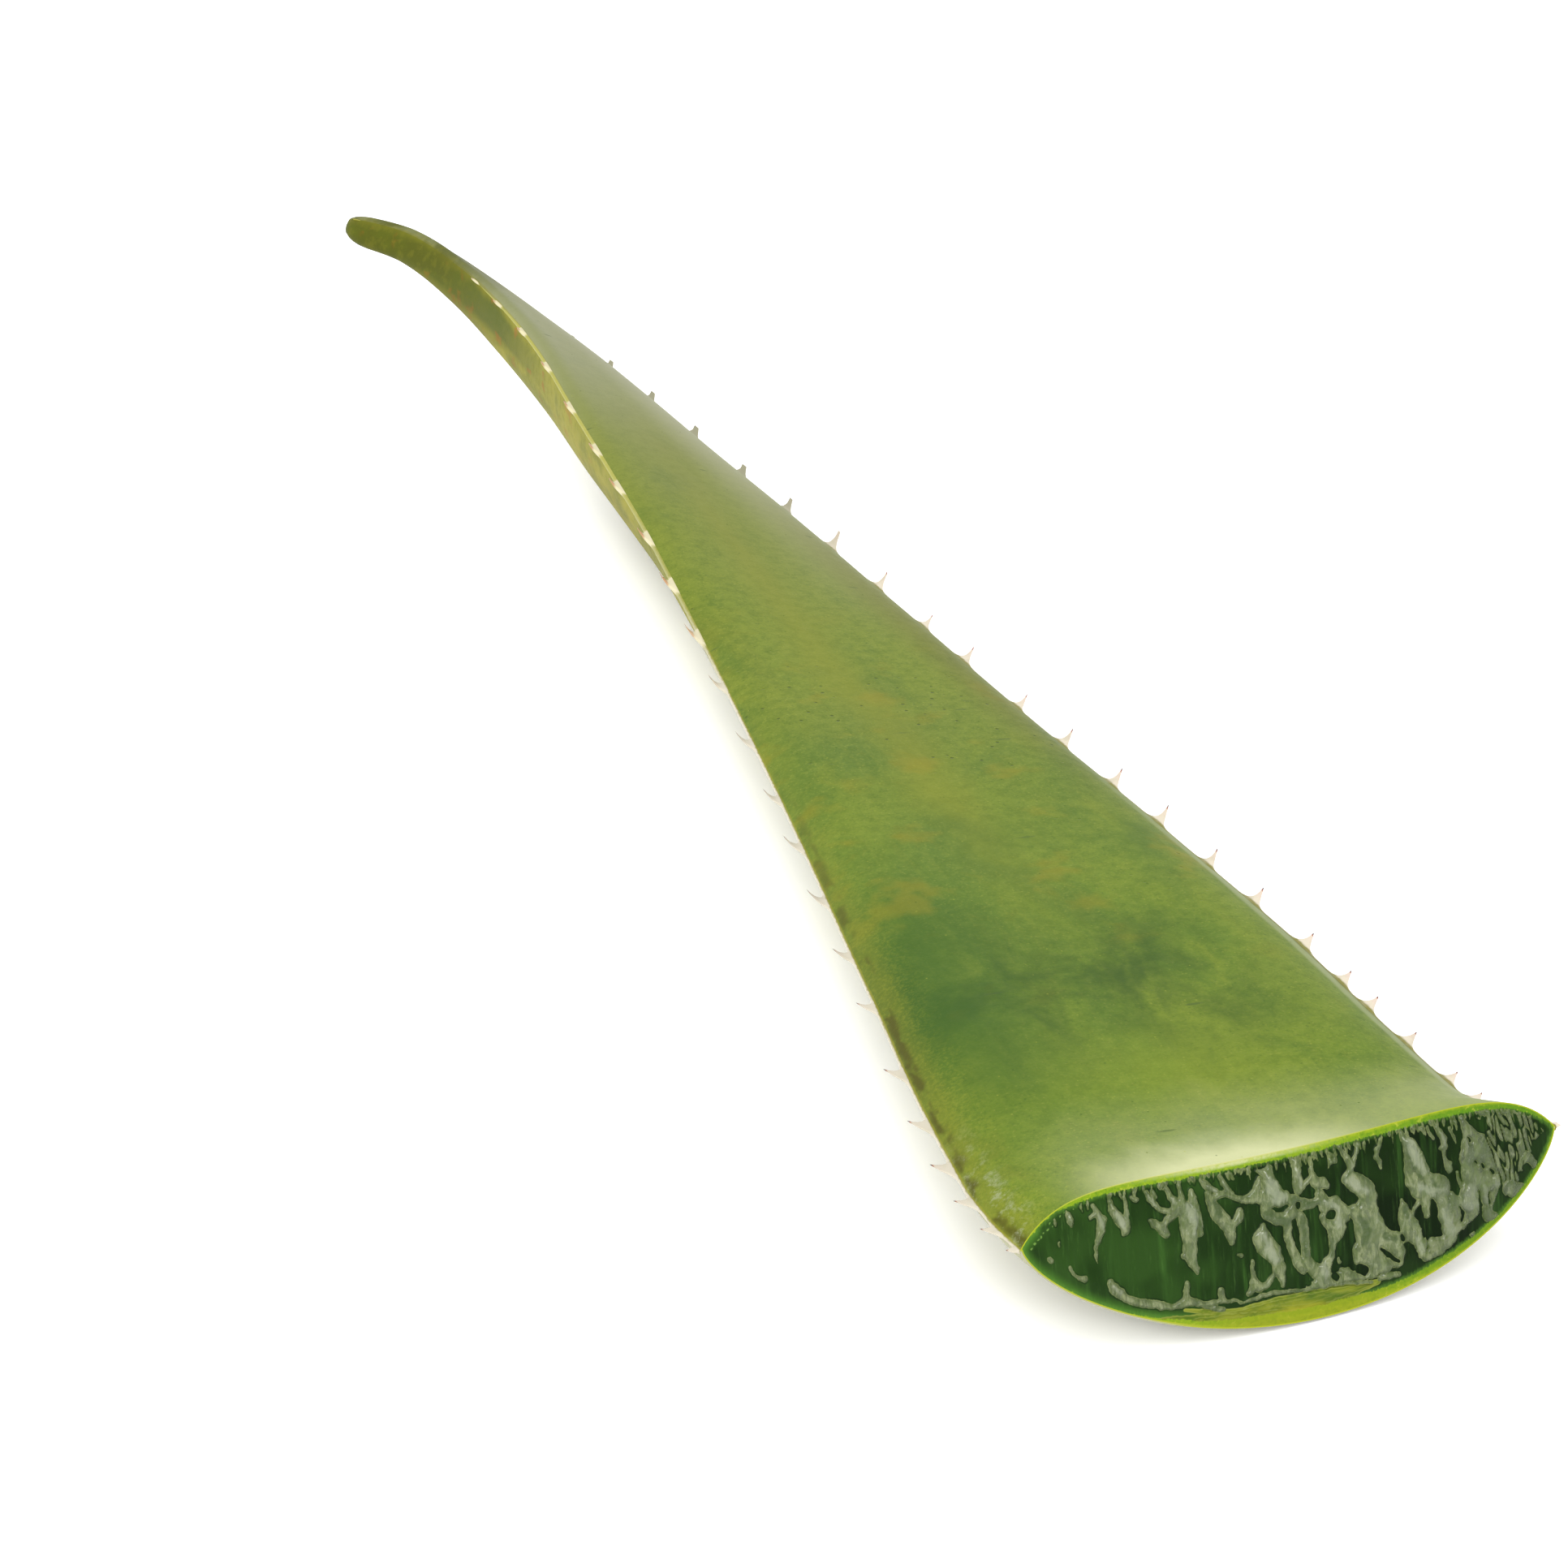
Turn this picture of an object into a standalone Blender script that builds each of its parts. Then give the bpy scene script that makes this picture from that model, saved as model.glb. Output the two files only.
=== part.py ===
"""Aloe vera leaf, cut off at its base and laid down on its rounded back.

Two objects share one frame: the green rind with the teeth of its two margins,
and the clear gel that fills the rind and shows at the cut end.
The leaf runs from the cut end along +Y to the tip, +X is its right margin and
+Z is up. The origin is the middle of the flat spot that the leaf rests on.
"""
import math

import bmesh
import bpy
from mathutils import Vector

MM = 0.001

# One row per place along the leaf, in mm and degrees: distance from the cut end,
# sideways bend, lowest point of the back, half width between the margins, depth of
# the back below the margins, roll that lifts the left margin, turn of the section
# about the upright, lean of its upper side towards the tip.
# The first rows make the slanting cut and the flare of the base.
LEAF = (
    (0.0, 4.7, 1.6, 47.0, 21.3, 0.0, 7.6, 18.0),
    (8.0, 0.3, 0.7, 44.1, 21.9, 0.0, 6.2, 16.0),
    (18.0, -0.8, 0.1, 43.1, 21.3, 0.0, 4.6, 13.0),
    (40.0, -1.0, 0.0, 41.6, 20.6, 0.0, 2.0, 6.0),
    (80.0, -0.4, 0.0, 38.7, 19.8, 0.0, 0.0, 0.0),
    (130.0, -0.4, 0.0, 34.5, 18.6, 1.0, 0.0, 0.0),
    (180.0, -0.8, 0.0, 30.6, 17.5, 3.5, 0.0, 0.0),
    (230.0, -1.3, 0.2, 27.4, 16.5, 7.0, 0.0, 0.0),
    (280.0, -2.8, 1.1, 25.0, 16.3, 13.2, 0.0, 0.0),
    (320.0, -6.3, 3.0, 22.4, 16.9, 18.0, 0.0, 0.0),
    (360.0, -12.0, 7.2, 17.3, 16.5, 20.3, 0.0, 0.0),
    (400.0, -17.9, 13.0, 11.2, 14.9, 22.0, 0.0, 0.0),
    (435.0, -24.8, 19.0, 6.7, 12.3, 25.5, 0.0, 0.0),
    (465.0, -32.1, 24.4, 4.3, 9.3, 33.0, 0.0, 0.0),
    (490.0, -41.8, 28.8, 3.6, 7.0, 45.0, 0.0, 0.0),
    (508.0, -56.1, 31.0, 3.5, 5.3, 56.0, 0.0, 0.0),
)

# How the cross-section changes from the cut end to the tip: distance, height of the
# upper face over the margins as a share of the half width, fullness of the back
# (smaller is fuller), how much more the back bulges towards the right margin.
SECTION = (
    (0.0, 0.148, 0.69, 0.09),
    (60.0, 0.15, 0.69, 0.04),
    (150.0, 0.15, 0.70, 0.0),
    (300.0, 0.12, 0.74, 0.0),
    (430.0, 0.25, 0.70, 0.0),
    (508.0, 0.70, 0.55, 0.0),
)

SINK = 1.0              # the back is planed off this deep where the leaf rests
REST_FROM_CUT = 136.0   # distance of the middle of the flat spot from the cut end

WALL_MARGIN = 3.0       # rind between a margin and the pocket for the gel
WALL_TOP = 1.5
WALL_BACK = 2.2
POCKET_END = 440.0
GEL_GAP = 0.3

TIP_ROUNDING = ((500.0, 1.0), (504.5, 0.95), (507.0, 0.82), (508.0, 0.62))

AROUND_TOP = 15         # faces round the section, upper side and back
AROUND_BACK = 19
NEAR_CUT = (0, 3, 6, 10, 15, 22, 31)    # rings of the flared base
STEP_OUTSIDE = 11.5
STEP_POCKET = 15.0

# Teeth of the two margins, by distance from the cut end. They stand close at the
# base and a finger's width apart along the rest.
TEETH_RIGHT = (2.5, 15, 24, 40, 55, 65, 79, 98, 116, 137, 157, 180,
               202, 231, 253, 279, 303, 325, 345, 367, 387, 406, 423, 445)
TEETH_LEFT = (2.5, 7, 14, 25, 36, 53, 76, 96, 118, 141, 162, 188,
              216, 242, 268, 293, 320, 342, 367, 393, 417, 437, 454)

# A tooth from its sunken root to its point: distance out of the margin, shift
# towards the tip of the leaf, rise over the margin, half length along the margin,
# half thickness.
TOOTH = (
    (-2.2, 0.0, -0.3, 4.6, 1.30),
    (0.2, 0.0, 0.0, 3.5, 1.00),
    (1.2, 0.4, 0.5, 1.80, 0.74),
    (2.2, 1.0, 1.2, 0.85, 0.48),
    (2.9, 1.55, 1.7, 0.36, 0.32),
)
TOOTH_POINT = (3.4, 1.95, 2.1)

# Size of the teeth along the leaf, and share of their rise: the ones at the very cut
# are stunted and stand straight out, the last ones are small bumps.
TOOTH_SIZE = ((0, 0.5, 0.0), (12, 0.9, 0.1), (30, 1.0, 0.2), (80, 1.0, 0.4),
              (120, 1.0, 1.0), (300, 1.0, 1.1), (370, 0.75, 1.1), (454, 0.5, 0.8))


def slopes(xs, ys):
    """Slopes for a smooth curve through the points that never overshoots them."""
    steps = [b - a for a, b in zip(xs, xs[1:])]
    grades = [(d - c) / h for c, d, h in zip(ys, ys[1:], steps)]
    found = [grades[0]]
    for i in range(1, len(grades)):
        before, after = grades[i - 1], grades[i]
        if before * after <= 0.0:
            found.append(0.0)
            continue
        w1 = 2 * steps[i] + steps[i - 1]
        w2 = steps[i] + 2 * steps[i - 1]
        found.append((w1 + w2) / (w1 / before + w2 / after))
    found.append(grades[-1])
    return found


def curve(rows, column):
    """Turn one column of a table into a smooth function of the distance."""
    xs = [row[0] for row in rows]
    ys = [row[column] for row in rows]
    ms = slopes(xs, ys)

    def value(x):
        x = min(max(x, xs[0]), xs[-1])
        i = 0
        while i < len(xs) - 2 and x > xs[i + 1]:
            i += 1
        h = xs[i + 1] - xs[i]
        t = (x - xs[i]) / h
        rise = ys[i + 1] - ys[i]
        a = 3 * rise - h * (2 * ms[i] + ms[i + 1])
        b = h * (ms[i] + ms[i + 1]) - 2 * rise
        return ys[i] + t * (h * ms[i] + t * (a + t * b))

    return value


side_at, low_at, half_at, depth_at, roll_at, slant_at, lean_at = (
    curve(LEAF, column) for column in range(1, 8))
crown_at, full_at, lopsided_at = (curve(SECTION, column) for column in (1, 2, 3))
tooth_size_at, tooth_rise_at = (curve(TOOTH_SIZE, column) for column in (1, 2))
tip_at = curve(TIP_ROUNDING, 1)


def middle(y):
    """Point midway between the margins, in mm in the part's frame."""
    height = depth_at(y) * math.cos(math.radians(lean_at(y)))
    return Vector((side_at(y), y - REST_FROM_CUT, low_at(y) - SINK + height))


def frame(y):
    """Right, up and along directions of the section at a distance."""
    slant = math.radians(slant_at(y))
    square = Vector((-math.sin(slant), math.cos(slant), 0.0))
    near, far = max(y - 3.0, 0.0), min(y + 3.0, LEAF[-1][0])
    course = (middle(far) - middle(near)).normalized()
    share = min(max((y - 18.0) / 40.0, 0.0), 1.0)
    along = square.lerp(course, share).normalized()
    right = along.cross(Vector((0.0, 0.0, 1.0))).normalized()
    lean = math.radians(lean_at(y))
    up = right.cross(along) * math.cos(lean) + along * math.sin(lean)
    turn = math.radians(roll_at(y))
    right, up = (right * math.cos(turn) - up * math.sin(turn),
                 up * math.cos(turn) + right * math.sin(turn))
    return right, up, along


def section(y, half, crown, depth):
    """Closed ring of the D-shaped section, from the right margin over the top."""
    right, up, _ = frame(y)
    centre = middle(y)
    full, lopsided = full_at(y), lopsided_at(y)
    ring = []
    for i in range(AROUND_TOP):
        u = math.cos(math.pi * i / AROUND_TOP)
        dip = 1.0 - 0.1 * (1.0 - u * u) ** 2
        v = crown * dip * max(0.0, 1.0 - abs(u) ** 6) ** 0.9
        ring.append(centre + right * (half * u) + up * v)
    for i in range(AROUND_BACK):
        u = -math.cos(math.pi * i / AROUND_BACK)
        v = -depth * max(0.0, 1.0 - u * u) ** full * (1.0 + lopsided * u)
        ring.append(centre + right * (half * u) + up * v)
    return ring


def outside(y):
    """Ring of the leaf's outer skin, drawn in at the blunt tip."""
    small = tip_at(y) if y > TIP_ROUNDING[0][0] else 1.0
    half = half_at(y) * small
    return section(y, half, half * crown_at(y), depth_at(y) * small)


def pocket(y, gap=0.0):
    """The hollow for the gel, or with a gap the gel itself, closing towards its end."""
    close = min(1.0, (POCKET_END - y) / 40.0 + 0.55)
    half = max(half_at(y) - WALL_MARGIN, 1.4) * close - gap
    crown = max(half_at(y) * crown_at(y) - WALL_TOP, 0.8) * close - gap
    depth = (depth_at(y) - WALL_BACK) * close - gap
    return section(y, half, crown, depth)


def places(end, step):
    """Distances of the rings: close in the flared base, then evenly spaced."""
    start = NEAR_CUT[-1]
    count = round((end - start) / step)
    return list(NEAR_CUT) + [start + (end - start) * (i + 1) / count for i in range(count)]


def add_rings(mesh, rings):
    """Skin a row of rings and give back the vertices of each."""
    rows = [[mesh.verts.new(p * MM) for p in ring] for ring in rings]
    for near, far in zip(rows, rows[1:]):
        for i in range(len(near)):
            j = (i + 1) % len(near)
            mesh.faces.new((near[i], near[j], far[j], far[i]))
    return rows


def material(name, colour, roughness):
    """A plain paint for one of the two objects."""
    made = bpy.data.materials.new(name)
    made.use_nodes = True
    shader = made.node_tree.nodes["Principled BSDF"]
    shader.inputs["Base Color"].default_value = (*colour, 1.0)
    shader.inputs["Roughness"].default_value = roughness
    return made


def finish_mesh(name, mesh, paint):
    """Make an object of a bmesh, with its faces turned out and smooth shading."""
    bmesh.ops.recalc_face_normals(mesh, faces=mesh.faces[:])
    data = bpy.data.meshes.new(name)
    mesh.to_mesh(data)
    mesh.free()
    data.materials.append(paint)
    made = bpy.data.objects.new(name, data)
    bpy.context.scene.collection.objects.link(made)
    return made


def smooth(thing, angle):
    """Shade round, with edges sharper than the angle in degrees left crisp."""
    thing.data.shade_smooth()
    thing.data.set_sharp_from_angle(angle=math.radians(angle))


def make_rind(paint):
    """The skin with its pocket for the gel, open at the cut end."""
    mesh = bmesh.new()
    distances = places(TIP_ROUNDING[0][0], STEP_OUTSIDE)
    distances += [y for y, _ in TIP_ROUNDING[1:]]
    outer = add_rings(mesh, [outside(y) for y in distances])
    inner = add_rings(mesh, [pocket(y) for y in places(POCKET_END, STEP_POCKET)])
    mesh.faces.new(outer[-1])
    mesh.faces.new(inner[-1])
    count = len(outer[0])
    for i in range(count):
        j = (i + 1) % count
        mesh.faces.new((outer[0][i], outer[0][j], inner[0][j], inner[0][i]))
    bmesh.ops.recalc_face_normals(mesh, faces=mesh.faces[:])
    bmesh.ops.bisect_plane(mesh, geom=mesh.verts[:] + mesh.edges[:] + mesh.faces[:],
                           dist=1e-6, plane_co=(0, 0, 0), plane_no=(0, 0, -1),
                           clear_outer=True)
    rim = [edge for edge in mesh.edges if edge.is_boundary]
    bmesh.ops.holes_fill(mesh, edges=rim, sides=0)
    return finish_mesh("rind", mesh, paint)


def make_tooth(name, y, hand, paint):
    """One hooked tooth; hand is 1 on the right margin and -1 on the left."""
    right, up, along = frame(y)
    out = right * hand
    root = middle(y) + out * half_at(y)
    size = tooth_size_at(y)
    lean = tooth_rise_at(y)

    def place(away, ahead, rise):
        return root + (out * away + along * ahead + up * (rise * lean)) * size

    mesh = bmesh.new()
    rings = []
    for away, ahead, rise, length, thick in TOOTH:
        ring = []
        for k in range(6):
            turn = math.pi * k / 3
            ring.append(place(away, ahead, rise)
                        + along * (length * size * math.cos(turn))
                        + up * (max(thick * size, 0.3) * math.sin(turn)))
        rings.append(ring)
    rows = add_rings(mesh, rings)
    mesh.faces.new(rows[0])
    point = mesh.verts.new(place(*TOOTH_POINT) * MM)
    for i in range(6):
        mesh.faces.new((rows[-1][i], rows[-1][(i + 1) % 6], point))
    return finish_mesh(name, mesh, paint)


def make_gel(paint):
    """The clear core, smaller than the pocket by the gap all round."""
    mesh = bmesh.new()
    end = POCKET_END - 1.0
    rows = add_rings(mesh, [pocket(y, GEL_GAP) for y in places(end, STEP_POCKET)])
    mesh.faces.new(rows[0])
    mesh.faces.new(rows[-1])
    return finish_mesh("gel", mesh, paint)


def join_teeth(rind):
    """Unite all the teeth with the rind in one go."""
    teeth = bpy.data.collections.new("teeth")
    bpy.context.scene.collection.children.link(teeth)
    for hand, distances in ((1, TEETH_RIGHT), (-1, TEETH_LEFT)):
        for y in distances:
            tooth = make_tooth("tooth", y, hand, rind.data.materials[0])
            bpy.context.scene.collection.objects.unlink(tooth)
            teeth.objects.link(tooth)
    union = rind.modifiers.new("teeth", "BOOLEAN")
    union.operation = "UNION"
    union.operand_type = "COLLECTION"
    union.collection = teeth
    union.solver = "EXACT"
    bpy.context.view_layer.objects.active = rind
    rind.select_set(True)
    bpy.ops.object.modifier_apply(modifier=union.name)
    for tooth in list(teeth.objects):
        bpy.data.objects.remove(tooth, do_unlink=True)
    bpy.data.collections.remove(teeth)


for old in list(bpy.data.objects):
    bpy.data.objects.remove(old, do_unlink=True)

rind = make_rind(material("rind_skin", (0.20, 0.33, 0.05), 0.4))
join_teeth(rind)
smooth(rind, 38.0)

gel = make_gel(material("gel_core", (0.03, 0.12, 0.03), 0.15))
smooth(gel, 38.0)
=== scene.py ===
# %% [markdown]
# # A cut aloe vera leaf
# One leaf of the kind lies on its rounded back. Its base was cut through with a knife,
# so the green skin shows as a bright rim round the wet, dark, clear flesh.
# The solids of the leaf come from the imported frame. They give every size and place
# here; this lesson puts a finer skin, toothed margins and the wet cut face in their place.

# %% Load the frame
import math
import random

import bpy
import numpy as np
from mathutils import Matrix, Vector, noise


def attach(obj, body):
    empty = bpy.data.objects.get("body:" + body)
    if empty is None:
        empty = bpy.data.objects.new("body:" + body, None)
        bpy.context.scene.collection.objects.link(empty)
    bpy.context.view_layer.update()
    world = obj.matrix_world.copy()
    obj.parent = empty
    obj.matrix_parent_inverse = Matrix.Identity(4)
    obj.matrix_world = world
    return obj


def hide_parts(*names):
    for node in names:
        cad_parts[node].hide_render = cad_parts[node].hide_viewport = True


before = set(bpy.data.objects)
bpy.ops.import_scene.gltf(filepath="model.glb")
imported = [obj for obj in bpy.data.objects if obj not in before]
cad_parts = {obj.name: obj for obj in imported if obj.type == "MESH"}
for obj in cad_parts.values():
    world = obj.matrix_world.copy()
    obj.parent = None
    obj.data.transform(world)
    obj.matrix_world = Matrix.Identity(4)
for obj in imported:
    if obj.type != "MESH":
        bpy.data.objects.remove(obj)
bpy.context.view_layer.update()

# %% [markdown]
# ## The view
# The photograph was taken with a long lens from above the cut end, a little to its left.
# A long lens keeps the far tip from shrinking too much. The camera stands where a fit to
# the leaf's two margins put it.

# %% Camera
lens = bpy.data.cameras.new("view")
lens.lens = 85.0
lens.sensor_width = 36.0
camera = bpy.data.objects.new("view", lens)
camera.location = (-0.2012, -0.5863, 0.3144)
camera.rotation_euler = (math.radians(65.23), 0.0, math.radians(-15.474))
bpy.context.scene.collection.objects.link(camera)
bpy.context.scene.camera = camera
bpy.context.scene.view_settings.view_transform = "Standard"
print("camera stands", round(camera.location.length, 3), "m from the resting spot")

# %% [markdown]
# ## Floor and light
# The leaf was shot on white with soft light from all round. A pale floor, a white sky, a
# very soft light from above and three broad lamps do the same. The lamp behind the leaf
# makes the sheen on the waxy skin, the one on the left lifts the shadow beside the leaf,
# and the one in front keeps the cut face readable. All of it is a little too bright, so
# the floor stays white almost everywhere, and the colours further down are set darker to
# make up for it.

# %% Floor
bpy.ops.mesh.primitive_plane_add(size=8.0, location=(0.0, 0.0, 0.0))
floor = bpy.context.object
floor.name = "floor"
floor_paint = bpy.data.materials.new("floor_white")
floor_paint.use_nodes = True
floor_shader = floor_paint.node_tree.nodes["Principled BSDF"]
floor_shader.inputs["Base Color"].default_value = (0.97, 0.97, 0.97, 1.0)
floor_shader.inputs["Roughness"].default_value = 0.9
floor_shader.inputs["Specular IOR Level"].default_value = 0.1
floor.data.materials.append(floor_paint)
print("floor:", [round(side, 1) for side in floor.dimensions[:2]], "m")

# %% Lamps and sky
def lamp(name, place, aim, size, power):
    """A soft lamp that looks at a point; its size is in metres and its power in watts."""
    light = bpy.data.lights.new(name, "AREA")
    light.shape = "RECTANGLE"
    light.size, light.size_y = size
    light.energy = power
    thing = bpy.data.objects.new(name, light)
    thing.location = place
    thing.rotation_euler = (Vector(aim) - Vector(place)).to_track_quat("-Z", "Y").to_euler()
    bpy.context.scene.collection.objects.link(thing)


lamp("lamp_behind", (0.6, 1.5, 0.75), (0.0, -0.1, 0.0), (0.9, 0.5), 0.75)
lamp("lamp_left", (-0.75, -0.1, 0.35), (-0.06, 0.05, 0.0), (0.7, 0.4), 2.75)
lamp("lamp_front", (0.35, -1.25, 0.55), (0.0, -0.13, 0.02), (0.5, 0.3), 4.4)
sun = bpy.data.lights.new("lamp_above", "SUN")
sun.energy = 1.7
sun.angle = math.radians(60.0)
above = bpy.data.objects.new("lamp_above", sun)
above.rotation_euler = (math.radians(18.0), math.radians(-16.0), 0.0)
bpy.context.scene.collection.objects.link(above)
sky = bpy.data.worlds.new("sky")
sky.use_nodes = True
sky.node_tree.nodes["Background"].inputs["Color"].default_value = (1.0, 1.0, 1.0, 1.0)
sky.node_tree.nodes["Background"].inputs["Strength"].default_value = 1.25
bpy.context.scene.world = sky

# %% [markdown]
# ## The shape of the leaf
# A leaf is a row of cross-sections strung along a bending line. Each row below is
# one station: where it lies, how wide and deep the leaf is there, and how the section
# is turned. These are the solids' own stations, in millimetres and degrees, so the finer
# skin lies on them. Smooth curves join the stations without overshooting.

# %% Stations
MM = 0.001
# Distance from the cut, sideways bend, lowest point, half width, depth below the
# margins, roll, turn about the upright, lean towards the tip.
STATIONS = (
    (0.0, 4.7, 1.6, 47.0, 21.3, 0.0, 7.6, 18.0),
    (8.0, 0.3, 0.7, 44.1, 21.9, 0.0, 6.2, 16.0),
    (18.0, -0.8, 0.1, 43.1, 21.3, 0.0, 4.6, 13.0),
    (40.0, -1.0, 0.0, 41.6, 20.6, 0.0, 2.0, 6.0),
    (80.0, -0.4, 0.0, 38.7, 19.8, 0.0, 0.0, 0.0),
    (130.0, -0.4, 0.0, 34.5, 18.6, 1.0, 0.0, 0.0),
    (180.0, -0.8, 0.0, 30.6, 17.5, 3.5, 0.0, 0.0),
    (230.0, -1.3, 0.2, 27.4, 16.5, 7.0, 0.0, 0.0),
    (280.0, -2.8, 1.1, 25.0, 16.3, 13.2, 0.0, 0.0),
    (320.0, -6.3, 3.0, 22.4, 16.9, 18.0, 0.0, 0.0),
    (360.0, -12.0, 7.2, 17.3, 16.5, 20.3, 0.0, 0.0),
    (400.0, -17.9, 13.0, 11.2, 14.9, 22.0, 0.0, 0.0),
    (435.0, -24.8, 19.0, 6.7, 12.3, 25.5, 0.0, 0.0),
    (465.0, -32.1, 24.4, 4.3, 9.3, 33.0, 0.0, 0.0),
    (490.0, -41.8, 28.8, 3.6, 7.0, 45.0, 0.0, 0.0),
    (508.0, -56.1, 31.0, 3.5, 5.3, 56.0, 0.0, 0.0),
)
# Distance, height of the upper face as a share of the half width, fullness of the back,
# how much more the back bulges towards the right margin.
SECTIONS = (
    (0.0, 0.148, 0.69, 0.09),
    (60.0, 0.15, 0.69, 0.04),
    (150.0, 0.15, 0.70, 0.0),
    (300.0, 0.12, 0.74, 0.0),
    (430.0, 0.25, 0.70, 0.0),
    (508.0, 0.70, 0.55, 0.0),
)
LENGTH = 508.0
REST_FROM_CUT = 136.0           # the resting spot's distance from the cut
SINK = 1.0                      # the back is planed flat by this much where it rests


# %% Smooth curves through the stations
def curve(rows, column):
    """A smooth function of the distance through one column of a table."""
    xs = [row[0] for row in rows]
    ys = [row[column] for row in rows]
    steps = [b - a for a, b in zip(xs, xs[1:])]
    grades = [(d - c) / h for c, d, h in zip(ys, ys[1:], steps)]
    slopes = [grades[0]]
    for i in range(1, len(grades)):
        before, after = grades[i - 1], grades[i]
        w1, w2 = 2 * steps[i] + steps[i - 1], steps[i] + 2 * steps[i - 1]
        flat = before * after <= 0.0
        slopes.append(0.0 if flat else (w1 + w2) / (w1 / before + w2 / after))
    slopes.append(grades[-1])

    def value(x):
        x = min(max(x, xs[0]), xs[-1])
        i = 0
        while i < len(xs) - 2 and x > xs[i + 1]:
            i += 1
        h = steps[i]
        t = (x - xs[i]) / h
        rise = ys[i + 1] - ys[i]
        a = 3 * rise - h * (2 * slopes[i] + slopes[i + 1])
        b = h * (slopes[i] + slopes[i + 1]) - 2 * rise
        return ys[i] + t * (h * slopes[i] + t * (a + t * b))

    return value


side_at, low_at, half_at, depth_at, roll_at, slant_at, lean_at = (
    curve(STATIONS, column) for column in range(1, 8))
crown_at, full_at, lopsided_at = (curve(SECTIONS, column) for column in (1, 2, 3))
print("half width 100 mm from the cut:", round(half_at(100.0), 2), "mm")


# %% Directions and cross-sections
UPRIGHT = np.array((0.0, 0.0, 1.0))
COURSE_STEP = 3.0               # the leaf's course is taken over this distance each way
SLANT_END, COURSE_START = 18.0, 58.0    # from the slant of the cut to the leaf's own course
MOUTH_FLARE = 16.0              # from here to the cut the upper face swells
MOUTH_CROWN, MOUTH_DIP = 0.07, 0.06     # how much higher and more sunken it gets there
DIP = 0.1                       # how far the upper face sinks in along its middle, as a share


def unit(vector):
    return vector / np.linalg.norm(vector)


def middle(y):
    """Point midway between the margins, in mm."""
    height = depth_at(y) * math.cos(math.radians(lean_at(y)))
    return np.array((side_at(y), y - REST_FROM_CUT, low_at(y) - SINK + height))


def directions(y):
    """Right, up and along at a distance from the cut."""
    y = min(y, LENGTH)
    slant, lean, roll = (math.radians(f(y)) for f in (slant_at, lean_at, roll_at))
    square = np.array((-math.sin(slant), math.cos(slant), 0.0))
    course = unit(middle(min(y + COURSE_STEP, LENGTH)) - middle(max(y - COURSE_STEP, 0.0)))
    share = min(max((y - SLANT_END) / (COURSE_START - SLANT_END), 0.0), 1.0)
    along = unit(square * (1.0 - share) + course * share)
    right = unit(np.cross(along, UPRIGHT))
    up = np.cross(right, along) * math.cos(lean) + along * math.sin(lean)
    turned = right * math.cos(roll) - up * math.sin(roll)
    return turned, up * math.cos(roll) + right * math.sin(roll), along


def heights(y, u, upper, crown, depth):
    """Height over the line between the margins; u is the share of the half width."""
    flare = max(0.0, 1.0 - y / MOUTH_FLARE) ** 2
    crown = crown * (1.0 + MOUTH_CROWN * flare)
    dip = DIP + MOUTH_DIP * flare
    top = (crown * (1.0 - dip * (1.0 - u * u) ** 2)
           * np.maximum(0.0, 1.0 - abs(u) ** (6.0 + flare)) ** 0.9)
    back = -depth * np.maximum(0.0, 1.0 - u * u) ** full_at(y) * (1.0 + lopsided_at(y) * u)
    return np.where(upper, top, back)


def section(y, half, crown, depth, u, upper):
    """Points of a cross-section, in mm."""
    right, up, along = directions(y)
    centre = middle(min(y, LENGTH)) + along * max(y - LENGTH, 0.0)
    rise = heights(min(y, LENGTH), u, upper, crown, depth)
    return centre + np.outer(half * u, right) + np.outer(rise, up)


print("cut face leans", lean_at(0.0), "degrees and turns", slant_at(0.0), "degrees")

# %% [markdown]
# ## Where the teeth stand
# The teeth were counted off along each margin. They crowd at the base, stand a finger's
# width apart along the leaf and shrink to bumps near the tip. Those of the left margin
# are slimmer than those of the right.

# %% Teeth along the margins
TEETH_RIGHT = (0.3, 15, 24, 40, 55, 65, 79, 98, 116, 137, 157, 180,
               202, 231, 253, 279, 303, 325, 345, 367, 387, 406, 423, 445)
TEETH_LEFT = (0.3, 5.6, 14, 23.6, 36, 51.8, 76, 96, 118, 141, 162, 188,
              216, 242, 268, 293, 320, 342, 367, 393, 417, 437, 454)
# Distance, size of the teeth on the right and on the left, share of their rise.
TOOTH_SIZES = ((0, 0.6, 0.42, 0.0), (6, 0.7, 0.6, 0.1), (14, 0.92, 0.8, 0.1),
               (30, 1.0, 0.86, 0.2), (80, 1.0, 0.9, 0.4), (120, 1.0, 0.9, 1.0),
               (300, 1.0, 0.84, 1.1), (370, 0.9, 0.7, 1.1), (454, 0.6, 0.5, 0.8))
right_size_at, left_size_at, tooth_rise_at = (curve(TOOTH_SIZES, column) for column in (1, 2, 3))
# On the right margin the far teeth climb over the edge of the face, and show against the light.
RISE_RIGHT = ((0, 0.0), (14, 0.1), (30, 0.2), (80, 0.4), (120, 1.0), (250, 1.0), (320, 2.6),
              (400, 3.0), (454, 1.5))
right_rise_at = curve(RISE_RIGHT, 1)
print(len(TEETH_RIGHT), "teeth on the right margin,", len(TEETH_LEFT), "on the left")

# %% [markdown]
# ## The skin
# The skin is one smooth closed shell. It could be extruded ring by ring from a circle, but
# every ring has its own width, depth and turn. So a flat grid is added, like a
# sheet of skin laid out, and each of its points is moved to its place round the leaf. Then the
# seam is merged, the last row closes the tip, and the open end is extruded inwards to make
# the lip and the wall of the pocket that holds the flesh.

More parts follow.
